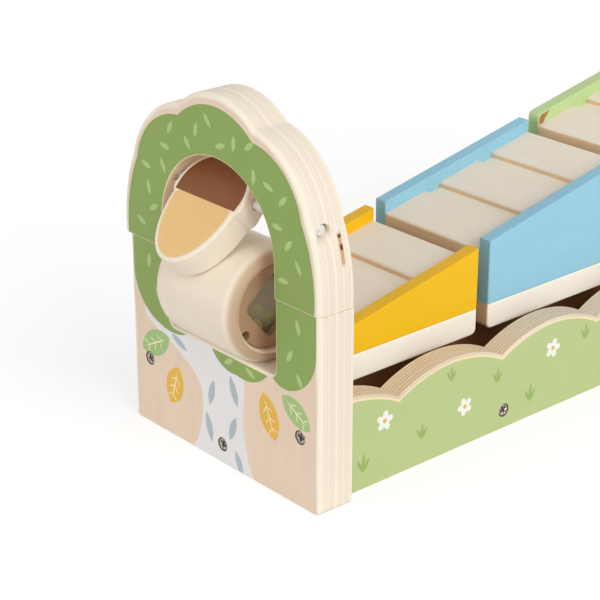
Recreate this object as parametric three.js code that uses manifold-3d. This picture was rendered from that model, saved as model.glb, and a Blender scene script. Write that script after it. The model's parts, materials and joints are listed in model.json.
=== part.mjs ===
// Wooden ramp toy: a rattle roller runs down three stepped ramp blocks that stand between two
// scalloped hill panels, passes under a tree arch and swings an acorn flap that hangs on a rod.
// Units are millimetres and +Z is up. +X runs from the tree end to the high end, -Y is the near
// side, and the origin is the middle of the base board's underside.
import * as THREE from "three";
import { mergeVertices } from "three/addons/utils/BufferGeometryUtils.js";
import Module from "manifold-3d";

const wasm = await Module();
wasm.setup();

// Clearances
const LOOSE = 0.3; // pieces that are cut by or lie on a neighbour
const RAMP_GAP = 7; // between two ramp blocks
const RAMP_START = 1; // between the tree panel and the lowest block
const RAMP_END = 10.5; // between the highest block and the rear panel
const RAMP_SIDE_GAP = 7.5; // between a block and the hill panel beside it

// Tree end: lower panel
const PANEL_WIDTH = 125;
const PANEL_THICK = 18;
const SPLIT_Z = 88; // joint between the lower panel and the arch
const LEDGE_Z = 53.5; // sill of the window, on which the roller stops
const WINDOW_WIDTH = 71;
const PANEL_ROUND = 2.5; // rounded edges of the thick boards
const FOOT_ROUND = 4; // rounded bottom corners

// Tree end: arch
const ARCH_WIDTH = 128;
const ARCH_SHIFT = 2; // the arch sits a little towards the far side
const ARCH_OPENING_RADIUS = 36.5;
const ARCH_SPRING_RISE = 13; // straight legs below the round opening
const SHOULDER_INSET = 7; // notch below the shoulder lobe, in from the arch's side
const SHOULDER_RISE = 37.5; // the same notch above the joint
const CROWN_HALF = 24.4; // half the width of the top lobe
const CROWN_RISE = 67; // ends of the top lobe above the joint
const SIDE_BULGE = 2.4;
const SHOULDER_BULGE = 6.5;
const CROWN_BULGE = 9;
const DOWEL_DIAMETER = 8;
const DOWEL_LENGTH = 30;

// Acorn flap and its rod
const ROD_DIAMETER = 4;
const ROD_DROP = 16.5; // below the top of the arch opening
const ROD_FORWARD = 2; // in front of the boards' middle plane
const ROD_RECESS = 2; // rod end inside the arch's near edge
const ROD_FAR_DEPTH = 14; // blind end in the far leg
const ACORN_THICK = 12.5;
const ACORN_SHIFT = 5.2; // the flap has slid along its rod
const CAP_HALF = 21.3;
const CAP_RISE = 14.5; // cap above the rod
const CAP_WIDEST = 4; // below the rod
const CAP_LIP = 1; // bulge of the cap's edge towards the nut
const NECK_DROP = 9.5;
const NUT_HALF = 19.4;
const NUT_SHOULDER = 9.5;
const NUT_LENGTH = 38; // rod to tip
const ACORN_ROUND = 1.2;

// Roller
const ROLLER_DIAMETER = 50;
const ROLLER_LENGTH = 51;
const ROLLER_WALL = 6.4;
const ROLLER_END_ROUND = 6;
const PANE_SHOULDER = 1.5; // step on which the clear pane sits
const DISC_THICK = 4;
const DISC_RECESS = 2.5;
const PANE_THICK = 1.5;
const DIAMOND_HALF = 14.4; // window, centre to corner
const DIAMOND_ROUND = 2.5;
const DIAMOND_TURN = THREE.MathUtils.degToRad(-6);
const RIM_NOTCH_DIAMETER = 4.6;
const RIM_NOTCH_INSET = 1.1; // centre of the notch inside the bore
const RIM_NOTCH_ANGLE = THREE.MathUtils.degToRad(215);
const BEAD_DIAMETER = 7.5;
const BEAD_ROWS = 4;
const BEADS_PER_ROW = 3;
const BEAD_LEAN = THREE.MathUtils.degToRad(-6); // the rows lie a little towards the tree end

// Hill panels
const HILL_THICK = 12;
const HILL_INSET = 6; // outer face in from the end panels' sides
const SCALLOPS = 5;
const HILL_NOTCH_Z = 36.5;
const SCALLOP_BULGE = 8;
const HILL_ROUND = 1.5;

// Ramp blocks
const RAMP_LENGTH = 96.5;
const RAMP_TILT = THREE.MathUtils.degToRad(11.5);
const WALL_THICK = 7;
const WALL_ABOVE_BED = 5.5;
const BED_LOW_THICK = 3.8; // lowest end of the lowest bed
const RAMP_BASE_THICK = 12;
const RAMP_BASE_ROUND = 3;
const TREADS = 3;
const GROOVE_WIDTH = 9;
const GROOVE_DEPTH = 2.5;
const PEG_DIAMETER = 8;
const PEG_SUNK = 10;
const PEG_PROUD = 8;
const PEG_INSET = 24; // from each end of a block

// Base, rail and rear panel
const BOARD_THICK = 18;
const RAIL_WIDTH = 40;
const REAR_SIDE_Z = 104;
const REAR_CROWN_HALF = 22; // half the width of the top lobe
const REAR_CROWN_RISE = 28; // ends of the top lobe above the sides
const REAR_SIDE_BULGE = 7;
const REAR_CROWN_BULGE = 8;

// Screws
const SCREW_HEAD_DIAMETER = 6.5;
const SCREW_HEAD_DEPTH = 2.5;
const SCREW_HEAD_EDGE = 0.6; // straight rim of the head
const SCREW_SHANK_DIAMETER = 3.5;
const SCREW_LENGTH = 35;
const SCREW_TIP = 4;
const HILL_SCREW_Z = 32;
const SIDE_SCREW_INSET = 96.5; // from each end of a hill panel

// Facets
const ARC_STEPS = 8; // a lobe
const CORNER_STEPS = 4; // a small rounded corner
const EDGE_STEPS = 2; // a board's rounded edge
const ROLLER_SIDES = 32;
const PIN_SIDES = 12;
const BEAD_SIDES = 10;
const BEAD_RINGS = 6;

// Places that follow from the sizes above
const rampNames = ["yellow", "blue", "green"];
const rampPitch = RAMP_LENGTH + RAMP_GAP;
const rampRun = (rampNames.length - 1) * rampPitch + RAMP_LENGTH;
const hillLength = RAMP_START + rampRun + RAMP_END;
const scallopPitch = hillLength / SCALLOPS;
const innerLow = -hillLength / 2; // inner face of the tree panel
const innerHigh = hillLength / 2; // inner face of the rear panel
const frontFace = innerLow - PANEL_THICK;
const rearFace = innerHigh + PANEL_THICK;
const panelMiddle = innerLow - PANEL_THICK / 2;
const hillOuterY = PANEL_WIDTH / 2 - HILL_INSET;
const hillInnerY = hillOuterY - HILL_THICK;
const hillMiddleY = hillOuterY - HILL_THICK / 2;
const rampHalf = hillInnerY - RAMP_SIDE_GAP;
const archSpringZ = SPLIT_Z + ARCH_SPRING_RISE;
const rodX = panelMiddle - ROD_FORWARD;
const rodZ = archSpringZ + ARCH_OPENING_RADIUS - ROD_DROP;
const legMiddleY = (PANEL_WIDTH + WINDOW_WIDTH) / 4;

const rollerRadius = ROLLER_DIAMETER / 2;
const rollerZ = LEDGE_Z + rollerRadius + LOOSE; // above the middle of the ledge
const boreRadius = rollerRadius - ROLLER_WALL;
const cavityRadius = boreRadius - PANE_SHOULDER;
const cavityHalf = ROLLER_LENGTH / 2 - DISC_RECESS - DISC_THICK - PANE_THICK - 2 * LOOSE;

// The beds share one sloping plane, which the roller on the ledge already touches, so that it
// leaves the lowest bed with no jolt.
const slope = Math.tan(RAMP_TILT);
const lowestX = innerLow + RAMP_START;
const rollerRun = rollerRadius + LOOSE;
const bedLowZ = rollerZ - rollerRun / Math.cos(RAMP_TILT) + slope * (lowestX - panelMiddle);
const rampBaseTop = bedLowZ - BED_LOW_THICK;
const rampBaseBottom = rampBaseTop - RAMP_BASE_THICK;
const railTop = rampBaseBottom - LOOSE;

// The flap leans on the roller: its tilt leaves the loose gap between the two.
const rollerReach = Math.hypot(ROD_FORWARD, rodZ - rollerZ);
const rollerBearing = Math.atan2(ROD_FORWARD, rodZ - rollerZ);
const acornTilt = Math.asin((rollerRadius + ACORN_THICK / 2 + LOOSE) / rollerReach) - rollerBearing;

// The rod runs from just inside the arch's near edge to a blind hole in its far leg.
const shoulderNotch = new THREE.Vector2(ARCH_WIDTH / 2 - SHOULDER_INSET, SPLIT_Z + SHOULDER_RISE);
const rodShare = (rodZ - SPLIT_Z) / SHOULDER_RISE;
const rodNearY = ARCH_SHIFT - ARCH_WIDTH / 2 + SHOULDER_INSET * rodShare + ROD_RECESS;
const rodFarY = ARCH_SHIFT + ARCH_OPENING_RADIUS + ROD_FAR_DEPTH;

const TOWARDS_HIGH = new THREE.Vector3(1, 0, 0);
const TOWARDS_LOW = new THREE.Vector3(-1, 0, 0);
const TOWARDS_FAR = new THREE.Vector3(0, 1, 0);
const TOWARDS_NEAR = new THREE.Vector3(0, -1, 0);
const UP = new THREE.Vector3(0, 0, 1);

// Axes of an outline: across the toy (drawn in Y and Z, thick along X) or along it (drawn in
// X and Z, thick along -Y)
const ACROSS = new THREE.Matrix4().makeBasis(TOWARDS_FAR, UP, TOWARDS_HIGH);
const ALONG = new THREE.Matrix4().makeBasis(TOWARDS_HIGH, UP, TOWARDS_NEAR);

// Closed mesh with shared corners, no collapsed triangles and faces that point out
function closed(geometry) {
  const bare = geometry.clone();
  bare.deleteAttribute("normal");
  bare.deleteAttribute("uv");
  const merged = mergeVertices(bare, 1e-4);
  const index = merged.getIndex().array;
  const position = merged.getAttribute("position");
  const corner = [0, 1, 2].map(() => new THREE.Vector3());
  const triangles = [];
  let volume = 0;
  for (let i = 0; i < index.length; i += 3) {
    const [a, b, c] = [index[i], index[i + 1], index[i + 2]];
    if (a === b || b === c || c === a) continue;
    triangles.push([a, b, c]);
    [a, b, c].forEach((vertex, k) => corner[k].fromBufferAttribute(position, vertex));
    volume += corner[0].dot(corner[1].cross(corner[2]));
  }
  const outward = volume > 0 ? triangles : triangles.map(([a, b, c]) => [a, c, b]);
  merged.setIndex(outward.flat());
  return merged;
}

function toSolid(geometry) {
  const mesh = closed(geometry);
  return new wasm.Manifold(
    new wasm.Mesh({
      numProp: 3,
      vertProperties: new Float32Array(mesh.getAttribute("position").array),
      triVerts: new Uint32Array(mesh.getIndex().array),
    }),
  );
}

function cut(geometry, cutters) {
  let solid = toSolid(geometry);
  for (const cutter of cutters) {
    solid = solid.subtract(toSolid(cutter));
  }
  const mesh = solid.getMesh();
  const result = new THREE.BufferGeometry();
  result.setAttribute("position", new THREE.BufferAttribute(mesh.vertProperties, 3));
  result.setIndex(new THREE.BufferAttribute(mesh.triVerts, 1));
  return result;
}

// Adds a point to an outline, unless the outline has just reached it
function reach(points, point) {
  const last = points[points.length - 1];
  if (!last || last.distanceTo(point) > 1e-3) points.push(point);
}

// Adds a stretch of an ellipse about a centre, from one angle to another
function ellipseArc(points, centre, radii, from, to, steps) {
  for (let i = 0; i <= steps; i++) {
    const angle = from + ((to - from) * i) / steps;
    const x = centre.x + radii.x * Math.cos(angle);
    const y = centre.y + radii.y * Math.sin(angle);
    reach(points, new THREE.Vector2(x, y));
  }
}

function roundArc(points, centre, radius, from, to, steps) {
  ellipseArc(points, centre, new THREE.Vector2(radius, radius), from, to, steps);
}

// Radius of an arc that rises over a chord
function arcRadius(chord, rise) {
  return (chord * chord) / (8 * rise) + rise / 2;
}

// Adds an arc from the last point to the next, bulging out of an outline that runs anticlockwise
function bulge(points, to, rise, steps = ARC_STEPS) {
  const from = points[points.length - 1];
  const chord = to.clone().sub(from);
  const radius = arcRadius(chord.length(), rise);
  const outward = new THREE.Vector2(chord.y, -chord.x).normalize();
  const centre = from.clone().add(to).multiplyScalar(0.5).addScaledVector(outward, rise - radius);
  const start = from.clone().sub(centre).angle();
  let end = to.clone().sub(centre).angle();
  if (end < start) end += 2 * Math.PI;
  roundArc(points, centre, radius, start, end, steps);
}

function mirrored(point) {
  return new THREE.Vector2(-point.x, point.y);
}

// Board of an outline, with its two faces' edges rounded inside that outline
function board(outline, axes, thick, round) {
  const shape = new THREE.Shape(outline);
  const geometry = new THREE.ExtrudeGeometry(shape, {
    depth: thick - 2 * round,
    steps: 1,
    bevelEnabled: round > 0,
    bevelThickness: round,
    bevelSize: round,
    bevelOffset: -round,
    bevelSegments: EDGE_STEPS,
  });
  geometry.translate(0, 0, round);
  return closed(geometry.applyMatrix4(axes));
}

// A shape drawn along +Y from the origin, turned to an axis and moved to its place
function placed(geometry, axis, at) {
  const turned = geometry.clone();
  turned.applyQuaternion(new THREE.Quaternion().setFromUnitVectors(TOWARDS_FAR, axis));
  return turned.translate(at.x, at.y, at.z);
}

// Cylinder along an axis, from a start point
function pin(diameter, length, axis, start) {
  const geometry = new THREE.CylinderGeometry(diameter / 2, diameter / 2, length, PIN_SIDES);
  geometry.translate(0, length / 2, 0);
  return placed(geometry, axis, start);
}

// Countersunk screw along +Y with its head's face at 0; the hole for it is the same shape, wider
// by the clearance and open at the head
function screwShape(clearance) {
  const head = SCREW_HEAD_DIAMETER / 2 + clearance;
  const shank = SCREW_SHANK_DIAMETER / 2 + clearance;
  const mouth = clearance > 0 ? -SCREW_HEAD_DEPTH : 0;
  const profile = [
    new THREE.Vector2(0, mouth),
    new THREE.Vector2(head, mouth),
    new THREE.Vector2(head, SCREW_HEAD_EDGE),
    new THREE.Vector2(shank, SCREW_HEAD_DEPTH),
    new THREE.Vector2(shank, SCREW_LENGTH - SCREW_TIP + clearance),
    new THREE.Vector2(0, SCREW_LENGTH + clearance),
  ];
  return closed(new THREE.LatheGeometry(profile, PIN_SIDES));
}

function paint(color, roughness = 0.6, metalness = 0) {
  return new THREE.MeshStandardMaterial({ color, roughness, metalness });
}

const ply = paint(0xe8d6b6);
const beech = paint(0xe9dcc0);
const crownGreen = paint(0x86a55a);
const hillGreen = paint(0x9fbd70);
const acornWood = paint(0xe6c184);
const rollerWood = paint(0xe4d5b7);
const beadGreen = paint(0x7f9f4e, 0.4);
const rampPaints = [0xf4c128, 0x9bcfe1, 0xb8d09c].map((color) => paint(color, 0.5));
const steel = paint(0xb8bcc0, 0.35, 0.9);
const clear = new THREE.MeshStandardMaterial({
  color: 0xdfe6ea,
  roughness: 0.05,
  transparent: true,
  opacity: 0.35,
});

const toy = new THREE.Group();
toy.name = "ramp_toy";

function add(parent, name, geometry, material) {
  const mesh = new THREE.Mesh(geometry, material);
  mesh.name = name;
  parent.add(mesh);
  return mesh;
}

// Screws, each with the way it points and the place of its head
const boardMiddleZ = BOARD_THICK / 2;
const sideScrewX = hillLength / 2 - SIDE_SCREW_INSET;
const screws = [
  ["tree_screw_near", TOWARDS_HIGH, new THREE.Vector3(frontFace, -hillMiddleY, HILL_SCREW_Z)],
  ["tree_screw_far", TOWARDS_HIGH, new THREE.Vector3(frontFace, hillMiddleY, HILL_SCREW_Z)],
  ["tree_screw_base", TOWARDS_HIGH, new THREE.Vector3(frontFace, 0, boardMiddleZ)],
  ["rear_screw_near", TOWARDS_LOW, new THREE.Vector3(rearFace, -hillMiddleY, HILL_SCREW_Z)],
  ["rear_screw_far", TOWARDS_LOW, new THREE.Vector3(rearFace, hillMiddleY, HILL_SCREW_Z)],
  ["rear_screw_base", TOWARDS_LOW, new THREE.Vector3(rearFace, 0, boardMiddleZ)],
  ["hill_screw_near_low", TOWARDS_FAR, new THREE.Vector3(-sideScrewX, -hillOuterY, boardMiddleZ)],
  ["hill_screw_near_high", TOWARDS_FAR, new THREE.Vector3(sideScrewX, -hillOuterY, boardMiddleZ)],
  ["hill_screw_far_low", TOWARDS_NEAR, new THREE.Vector3(-sideScrewX, hillOuterY, boardMiddleZ)],
  ["hill_screw_far_high", TOWARDS_NEAR, new THREE.Vector3(sideScrewX, hillOuterY, boardMiddleZ)],
];
for (const [name, axis, at] of screws) {
  add(toy, name, placed(screwShape(0), axis, at), steel);
}

// Holes of the screws whose names hold a word
function screwHoles(word) {
  const chosen = screws.filter(([name]) => name.includes(word));
  return chosen.map(([, axis, at]) => placed(screwShape(LOOSE), axis, at));
}

// Dowels across the joint of the tree end
function dowel(side, clearance) {
  const half = DOWEL_LENGTH / 2 + clearance;
  const start = new THREE.Vector3(panelMiddle, side * legMiddleY, SPLIT_Z - half);
  return pin(DOWEL_DIAMETER + 2 * clearance, 2 * half, UP, start);
}

// Block that trims a tree board flat at the joint, where its edges aren't rounded
const trim = 2 * PANEL_ROUND;

function trimBlock(low) {
  const block = new THREE.BoxGeometry(2 * PANEL_THICK, 2 * (ARCH_WIDTH + ARCH_SHIFT), 2 * trim);
  return block.translate(panelMiddle, 0, low + trim);
}

// Lower tree panel, with its window open to the arch above
function treePanel() {
  const half = PANEL_WIDTH / 2;
  const window = WINDOW_WIDTH / 2;
  const foot = half - FOOT_ROUND;
  const top = SPLIT_Z + trim;
  const outline = [];
  roundArc(outline, new THREE.Vector2(foot, FOOT_ROUND), FOOT_ROUND, -Math.PI / 2, 0, CORNER_STEPS);
  outline.push(
    new THREE.Vector2(half, top),
    new THREE.Vector2(window, top),
    new THREE.Vector2(window, LEDGE_Z),
    new THREE.Vector2(-window, LEDGE_Z),
    new THREE.Vector2(-window, top),
    new THREE.Vector2(-half, top),
  );
  const corner = new THREE.Vector2(-foot, FOOT_ROUND);
  roundArc(outline, corner, FOOT_ROUND, Math.PI, 1.5 * Math.PI, CORNER_STEPS);
  const panel = board(outline, ACROSS, PANEL_THICK, PANEL_ROUND);
  panel.translate(frontFace, 0, 0);
  return cut(panel, [
    trimBlock(SPLIT_Z),
    ...screwHoles("tree"),
    dowel(-1, LOOSE),
    dowel(1, LOOSE),
  ]);
}

// Round-headed tree arch of five lobes
function treeArch() {
  const half = ARCH_WIDTH / 2;
  const inner = ARCH_OPENING_RADIUS;
  const foot = SPLIT_Z + LOOSE;
  const crownEnd = new THREE.Vector2(CROWN_HALF, SPLIT_Z + CROWN_RISE);
  const outline = [
    new THREE.Vector2(inner, foot - trim),
    new THREE.Vector2(half, foot - trim),
    new THREE.Vector2(half, foot),
  ];
  bulge(outline, shoulderNotch, SIDE_BULGE);
  bulge(outline, crownEnd, SHOULDER_BULGE);
  bulge(outline, mirrored(crownEnd), CROWN_BULGE);
  bulge(outline, mirrored(shoulderNotch), SHOULDER_BULGE);
  bulge(outline, new THREE.Vector2(-half, foot), SIDE_BULGE);
  outline.push(new THREE.Vector2(-half, foot - trim), new THREE.Vector2(-inner, foot - trim));
  roundArc(outline, new THREE.Vector2(0, archSpringZ), inner, Math.PI, 0, 2 * ARC_STEPS);
  const arch = board(outline, ACROSS, PANEL_THICK, PANEL_ROUND);
  arch.translate(frontFace, ARCH_SHIFT, 0);
  const rodHole = pin(
    ROD_DIAMETER + 2 * LOOSE,
    ARCH_WIDTH,
    TOWARDS_NEAR,
    new THREE.Vector3(rodX, rodFarY + LOOSE, rodZ),
  );
  return cut(arch, [trimBlock(foot - 2 * trim), rodHole, dowel(-1, LOOSE), dowel(1, LOOSE)]);
}

add(toy, "tree_panel", treePanel(), ply);
add(toy, "tree_arch", treeArch(), crownGreen);
add(toy, "arch_dowel_near", dowel(-1, 0), beech);
add(toy, "arch_dowel_far", dowel(1, 0), beech);
const rodStart = new THREE.Vector3(rodX, rodFarY, rodZ);
add(toy, "acorn_rod", pin(ROD_DIAMETER, rodFarY - rodNearY, TOWARDS_NEAR, rodStart), steel);

// Acorn flap: a cap over a nut, cut from one plate and hung on the rod through its cap
function acornFlap() {
  const rim = new THREE.Vector2(CAP_HALF, -CAP_WIDEST);
  const neck = new THREE.Vector2(NUT_HALF, -NECK_DROP);
  const nut = new THREE.Vector2(NUT_HALF, NUT_LENGTH - NUT_SHOULDER);
  const cap = new THREE.Vector2(CAP_HALF, CAP_RISE + CAP_WIDEST);
  const outline = [];
  ellipseArc(outline, new THREE.Vector2(0, -NUT_SHOULDER), nut, -Math.PI, 0, 2 * ARC_STEPS);
  outline.push(neck);
  bulge(outline, rim, CAP_LIP, CORNER_STEPS);
  ellipseArc(outline, new THREE.Vector2(0, -CAP_WIDEST), cap, 0, Math.PI, 2 * ARC_STEPS);
  bulge(outline, mirrored(neck), CAP_LIP, CORNER_STEPS);
  const plate = board(outline, ACROSS, ACORN_THICK, ACORN_ROUND);
  plate.translate(-ACORN_THICK / 2, 0, 0);
  const start = new THREE.Vector3(0, -2 * CAP_HALF, 0);
  return cut(plate, [pin(ROD_DIAMETER + 2 * LOOSE, 4 * CAP_HALF, TOWARDS_FAR, start)]);
}

const acorn = add(toy, "acorn_flap", acornFlap(), acornWood);
acorn.position.set(rodX, ACORN_SHIFT, rodZ);
acorn.rotation.y = acornTilt;

// Scalloped hill panels, one each side, with half a scallop at each end
function hillPanel(side) {
  const half = hillLength / 2;
  const radius = arcRadius(scallopPitch, SCALLOP_BULGE);
  const reachAngle = Math.asin(scallopPitch / 2 / radius);
  const outline = [new THREE.Vector2(-half, 0), new THREE.Vector2(half, 0)];
  for (let i = SCALLOPS; i >= 0; i--) {
    const centre = new THREE.Vector2(i * scallopPitch - half, HILL_NOTCH_Z + SCALLOP_BULGE - radius);
    const from = i === SCALLOPS ? 0 : -reachAngle;
    const to = i === 0 ? 0 : reachAngle;
    const steps = (ARC_STEPS * (to - from)) / (2 * reachAngle);
    roundArc(outline, centre, radius, Math.PI / 2 + from, Math.PI / 2 + to, steps);
  }
  const panel = board(outline, ALONG, HILL_THICK, HILL_ROUND);
  panel.translate(0, side === "far" ? hillOuterY : -hillInnerY, 0);
  return cut(panel, screwHoles(side));
}

add(toy, "hill_panel_near", hillPanel("near"), hillGreen);
add(toy, "hill_panel_far", hillPanel("far"), hillGreen);

// Base board between the hills
function baseBoard() {
  const geometry = new THREE.BoxGeometry(hillLength, 2 * hillInnerY, BOARD_THICK);
  geometry.translate(0, 0, boardMiddleZ);
  return cut(geometry, [...screwHoles("base"), ...screwHoles("hill")]);
}

// Rail that carries the ramp blocks, with two pegs for each block
function pegStarts(index) {
  const blockX = lowestX + index * rampPitch;
  const places = [blockX + PEG_INSET, blockX + RAMP_LENGTH - PEG_INSET];
  return places.map((x) => new THREE.Vector3(x, 0, railTop - PEG_SUNK));
}

function peg(start, clearance) {
  const low = start.clone().addScaledVector(UP, -clearance);
  return pin(PEG_DIAMETER + 2 * clearance, PEG_SUNK + PEG_PROUD + 2 * clearance, UP, low);
}

function supportRail() {
  const height = railTop - BOARD_THICK;
  const geometry = new THREE.BoxGeometry(rampRun, RAIL_WIDTH, height);
  geometry.translate(lowestX + rampRun / 2, 0, BOARD_THICK + height / 2);
  const starts = rampNames.flatMap((name, index) => pegStarts(index));
  return cut(geometry, starts.map((start) => peg(start, LOOSE)));
}

add(toy, "base_board", baseBoard(), ply);
add(toy, "support_rail", supportRail(), beech);

// Plain rear panel with a low three-lobed top
function rearPanel() {
  const half = PANEL_WIDTH / 2;
  const crownEnd = new THREE.Vector2(REAR_CROWN_HALF, REAR_SIDE_Z + REAR_CROWN_RISE);
  const outline = [
    new THREE.Vector2(-half, 0),
    new THREE.Vector2(half, 0),
    new THREE.Vector2(half, REAR_SIDE_Z),
  ];
  bulge(outline, crownEnd, REAR_SIDE_BULGE);
  bulge(outline, mirrored(crownEnd), REAR_CROWN_BULGE);
  bulge(outline, new THREE.Vector2(-half, REAR_SIDE_Z), REAR_SIDE_BULGE);
  const panel = board(outline, ACROSS, PANEL_THICK, PANEL_ROUND);
  panel.translate(innerHigh, 0, 0);
  return cut(panel, screwHoles("rear"));
}

add(toy, "rear_panel", rearPanel(), ply);

// Ramp block: its pieces are drawn along the toy, in X from the block's low end and in Z above
// the top of its base
function rampBase(index) {
  const low = RAMP_BASE_ROUND - RAMP_BASE_THICK;
  const far = RAMP_LENGTH - RAMP_BASE_ROUND;
  const outline = [new THREE.Vector2(RAMP_LENGTH, 0), new THREE.Vector2(0, 0)];
  const lowCorner = new THREE.Vector2(RAMP_BASE_ROUND, low);
  const highCorner = new THREE.Vector2(far, low);
  roundArc(outline, lowCorner, RAMP_BASE_ROUND, Math.PI, 1.5 * Math.PI, CORNER_STEPS);
  roundArc(outline, highCorner, RAMP_BASE_ROUND, 1.5 * Math.PI, 2 * Math.PI, CORNER_STEPS);
  const base = board(outline, ALONG, 2 * rampHalf, 0);
  base.translate(lowestX + index * rampPitch, rampHalf, rampBaseTop);
  return cut(base, pegStarts(index).map((start) => peg(start, LOOSE)));
}

function rampBed(bedZ) {
  const tread = (RAMP_LENGTH - (TREADS - 1) * GROOVE_WIDTH) / TREADS;
  const outline = [new THREE.Vector2(0, 0), new THREE.Vector2(RAMP_LENGTH, 0)];
  for (let i = TREADS - 1; i >= 0; i--) {
    const low = i * (tread + GROOVE_WIDTH);
    const high = low + tread;
    if (i < TREADS - 1) outline.push(new THREE.Vector2(high, bedZ(high) - GROOVE_DEPTH));
    outline.push(new THREE.Vector2(high, bedZ(high)), new THREE.Vector2(low, bedZ(low)));
    if (i > 0) outline.push(new THREE.Vector2(low, bedZ(low) - GROOVE_DEPTH));
  }
  return board(outline, ALONG, 2 * (rampHalf - WALL_THICK), 0);
}

function rampWall(bedZ) {
  const outline = [
    new THREE.Vector2(0, 0),
    new THREE.Vector2(RAMP_LENGTH, 0),
    new THREE.Vector2(RAMP_LENGTH, bedZ(RAMP_LENGTH) + WALL_ABOVE_BED),
    new THREE.Vector2(0, bedZ(0) + WALL_ABOVE_BED),
  ];
  return board(outline, ALONG, WALL_THICK, 0);
}

rampNames.forEach((name, index) => {
  const blockX = lowestX + index * rampPitch;
  const bedZ = (x) => BED_LOW_THICK + slope * (index * rampPitch + x);
  const inner = rampHalf - WALL_THICK;
  add(toy, `${name}_base`, rampBase(index), beech);
  add(toy, `${name}_bed`, rampBed(bedZ).translate(blockX, inner, rampBaseTop), beech);
  for (const [side, farFace] of [["near", -inner], ["far", rampHalf]]) {
    const wall = rampWall(bedZ).translate(blockX, farFace, rampBaseTop);
    add(toy, `${name}_wall_${side}`, wall, rampPaints[index]);
  }
  const [lowPeg, highPeg] = pegStarts(index);
  add(toy, `${name}_peg_low`, peg(lowPeg, 0), beech);
  add(toy, `${name}_peg_high`, peg(highPeg, 0), beech);
});

// Rattle roller, turned about its own axis along Y
const roller = new THREE.Group();
roller.position.set(panelMiddle, 0, rollerZ);
toy.add(roller);

function barrel() {
  const end = ROLLER_LENGTH / 2;
  const shoulder = rollerRadius - ROLLER_END_ROUND;
  const roundStart = end - ROLLER_END_ROUND;
  const profile = [
    new THREE.Vector2(cavityRadius, -cavityHalf),
    new THREE.Vector2(boreRadius, -cavityHalf),
    new THREE.Vector2(boreRadius, -end),
  ];
  const lower = new THREE.Vector2(shoulder, -roundStart);
  const upper = new THREE.Vector2(shoulder, roundStart);
  roundArc(profile, lower, ROLLER_END_ROUND, -Math.PI / 2, 0, CORNER_STEPS);
  roundArc(profile, upper, ROLLER_END_ROUND, 0, Math.PI / 2, CORNER_STEPS);
  profile.push(
    new THREE.Vector2(boreRadius, end),
    new THREE.Vector2(boreRadius, cavityHalf),
    new THREE.Vector2(cavityRadius, cavityHalf),
    new THREE.Vector2(cavityRadius, -cavityHalf),
  );
  return closed(new THREE.LatheGeometry(profile, ROLLER_SIDES));
}

// End disc with a round-cornered diamond window and a finger notch in its rim
function endDisc() {
  const origin = new THREE.Vector2();
  const rim = [];
  roundArc(rim, origin, boreRadius - LOOSE, 0, 2 * Math.PI, ROLLER_SIDES);
  rim.pop(); // the circle ends where it starts
  const diamond = [];
  const inset = DIAMOND_HALF - DIAMOND_ROUND * Math.SQRT2;
  const quarter = Math.PI / 4;
  for (let i = 0; i < 4; i++) {
    const angle = DIAMOND_TURN + (i * Math.PI) / 2;
    const centre = new THREE.Vector2(inset, 0).rotateAround(origin, angle);
    roundArc(diamond, centre, DIAMOND_ROUND, angle - quarter, angle + quarter, CORNER_STEPS);
  }
  const shape = new THREE.Shape(rim);
  shape.holes.push(new THREE.Path(diamond));
  const geometry = new THREE.ExtrudeGeometry(shape, { depth: DISC_THICK, bevelEnabled: false });
  const notch = new THREE.Vector2(boreRadius - RIM_NOTCH_INSET, 0).rotateAround(origin, RIM_NOTCH_ANGLE);
  const below = new THREE.Vector3(notch.x, notch.y, -DISC_THICK);
  const disc = cut(geometry, [pin(RIM_NOTCH_DIAMETER, 3 * DISC_THICK, UP, below)]);
  disc.translate(0, 0, ROLLER_LENGTH / 2 - DISC_RECESS - DISC_THICK);
  return disc.applyMatrix4(ALONG);
}

add(roller, "roller_barrel", barrel(), rollerWood);
for (const [side, turn] of [["near", 0], ["far", Math.PI]]) {
  const end = new THREE.Group();
  end.rotation.z = turn;
  roller.add(end);
  add(end, `roller_disc_${side}`, endDisc(), rollerWood);
  const seat = new THREE.Vector3(0, -cavityHalf - LOOSE, 0);
  const pane = pin(2 * (boreRadius - LOOSE), PANE_THICK, TOWARDS_NEAR, seat);
  add(end, `roller_pane_${side}`, pane, clear);
}

// Beads lie on the bottom of the cavity in rows, a little apart
const beadRadius = BEAD_DIAMETER / 2;
const beadRun = cavityRadius - beadRadius - LOOSE;
const beadStep = 2 * Math.asin((beadRadius + LOOSE) / beadRun);
const beadEnd = cavityHalf - beadRadius - LOOSE;
for (let row = 0; row < BEAD_ROWS; row++) {
  for (let i = 0; i < BEADS_PER_ROW; i++) {
    const angle = (i - (BEADS_PER_ROW - 1) / 2) * beadStep + BEAD_LEAN;
    const y = -beadEnd + (2 * beadEnd * row) / (BEAD_ROWS - 1);
    const bead = closed(new THREE.SphereGeometry(beadRadius, BEAD_SIDES, BEAD_RINGS));
    const mesh = add(roller, `bead_${row + 1}_${i + 1}`, bead, beadGreen);
    mesh.position.set(beadRun * Math.sin(angle), y, -beadRun * Math.cos(angle));
  }
}

export default toy;
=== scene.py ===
"""Looks of the wooden ramp toy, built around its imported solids.

Drawings are in millimetres in the toy's own frame: X runs from the tree end to the high end, -Y is the
near side and Z is up. The scene's objects are in metres.
"""
import json
from math import acos, asin, atan2, cos, degrees, hypot, pi, radians, sin, sqrt, tan

import bmesh
import bpy
from mathutils import Matrix, Vector
from mathutils.geometry import delaunay_2d_cdt


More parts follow.
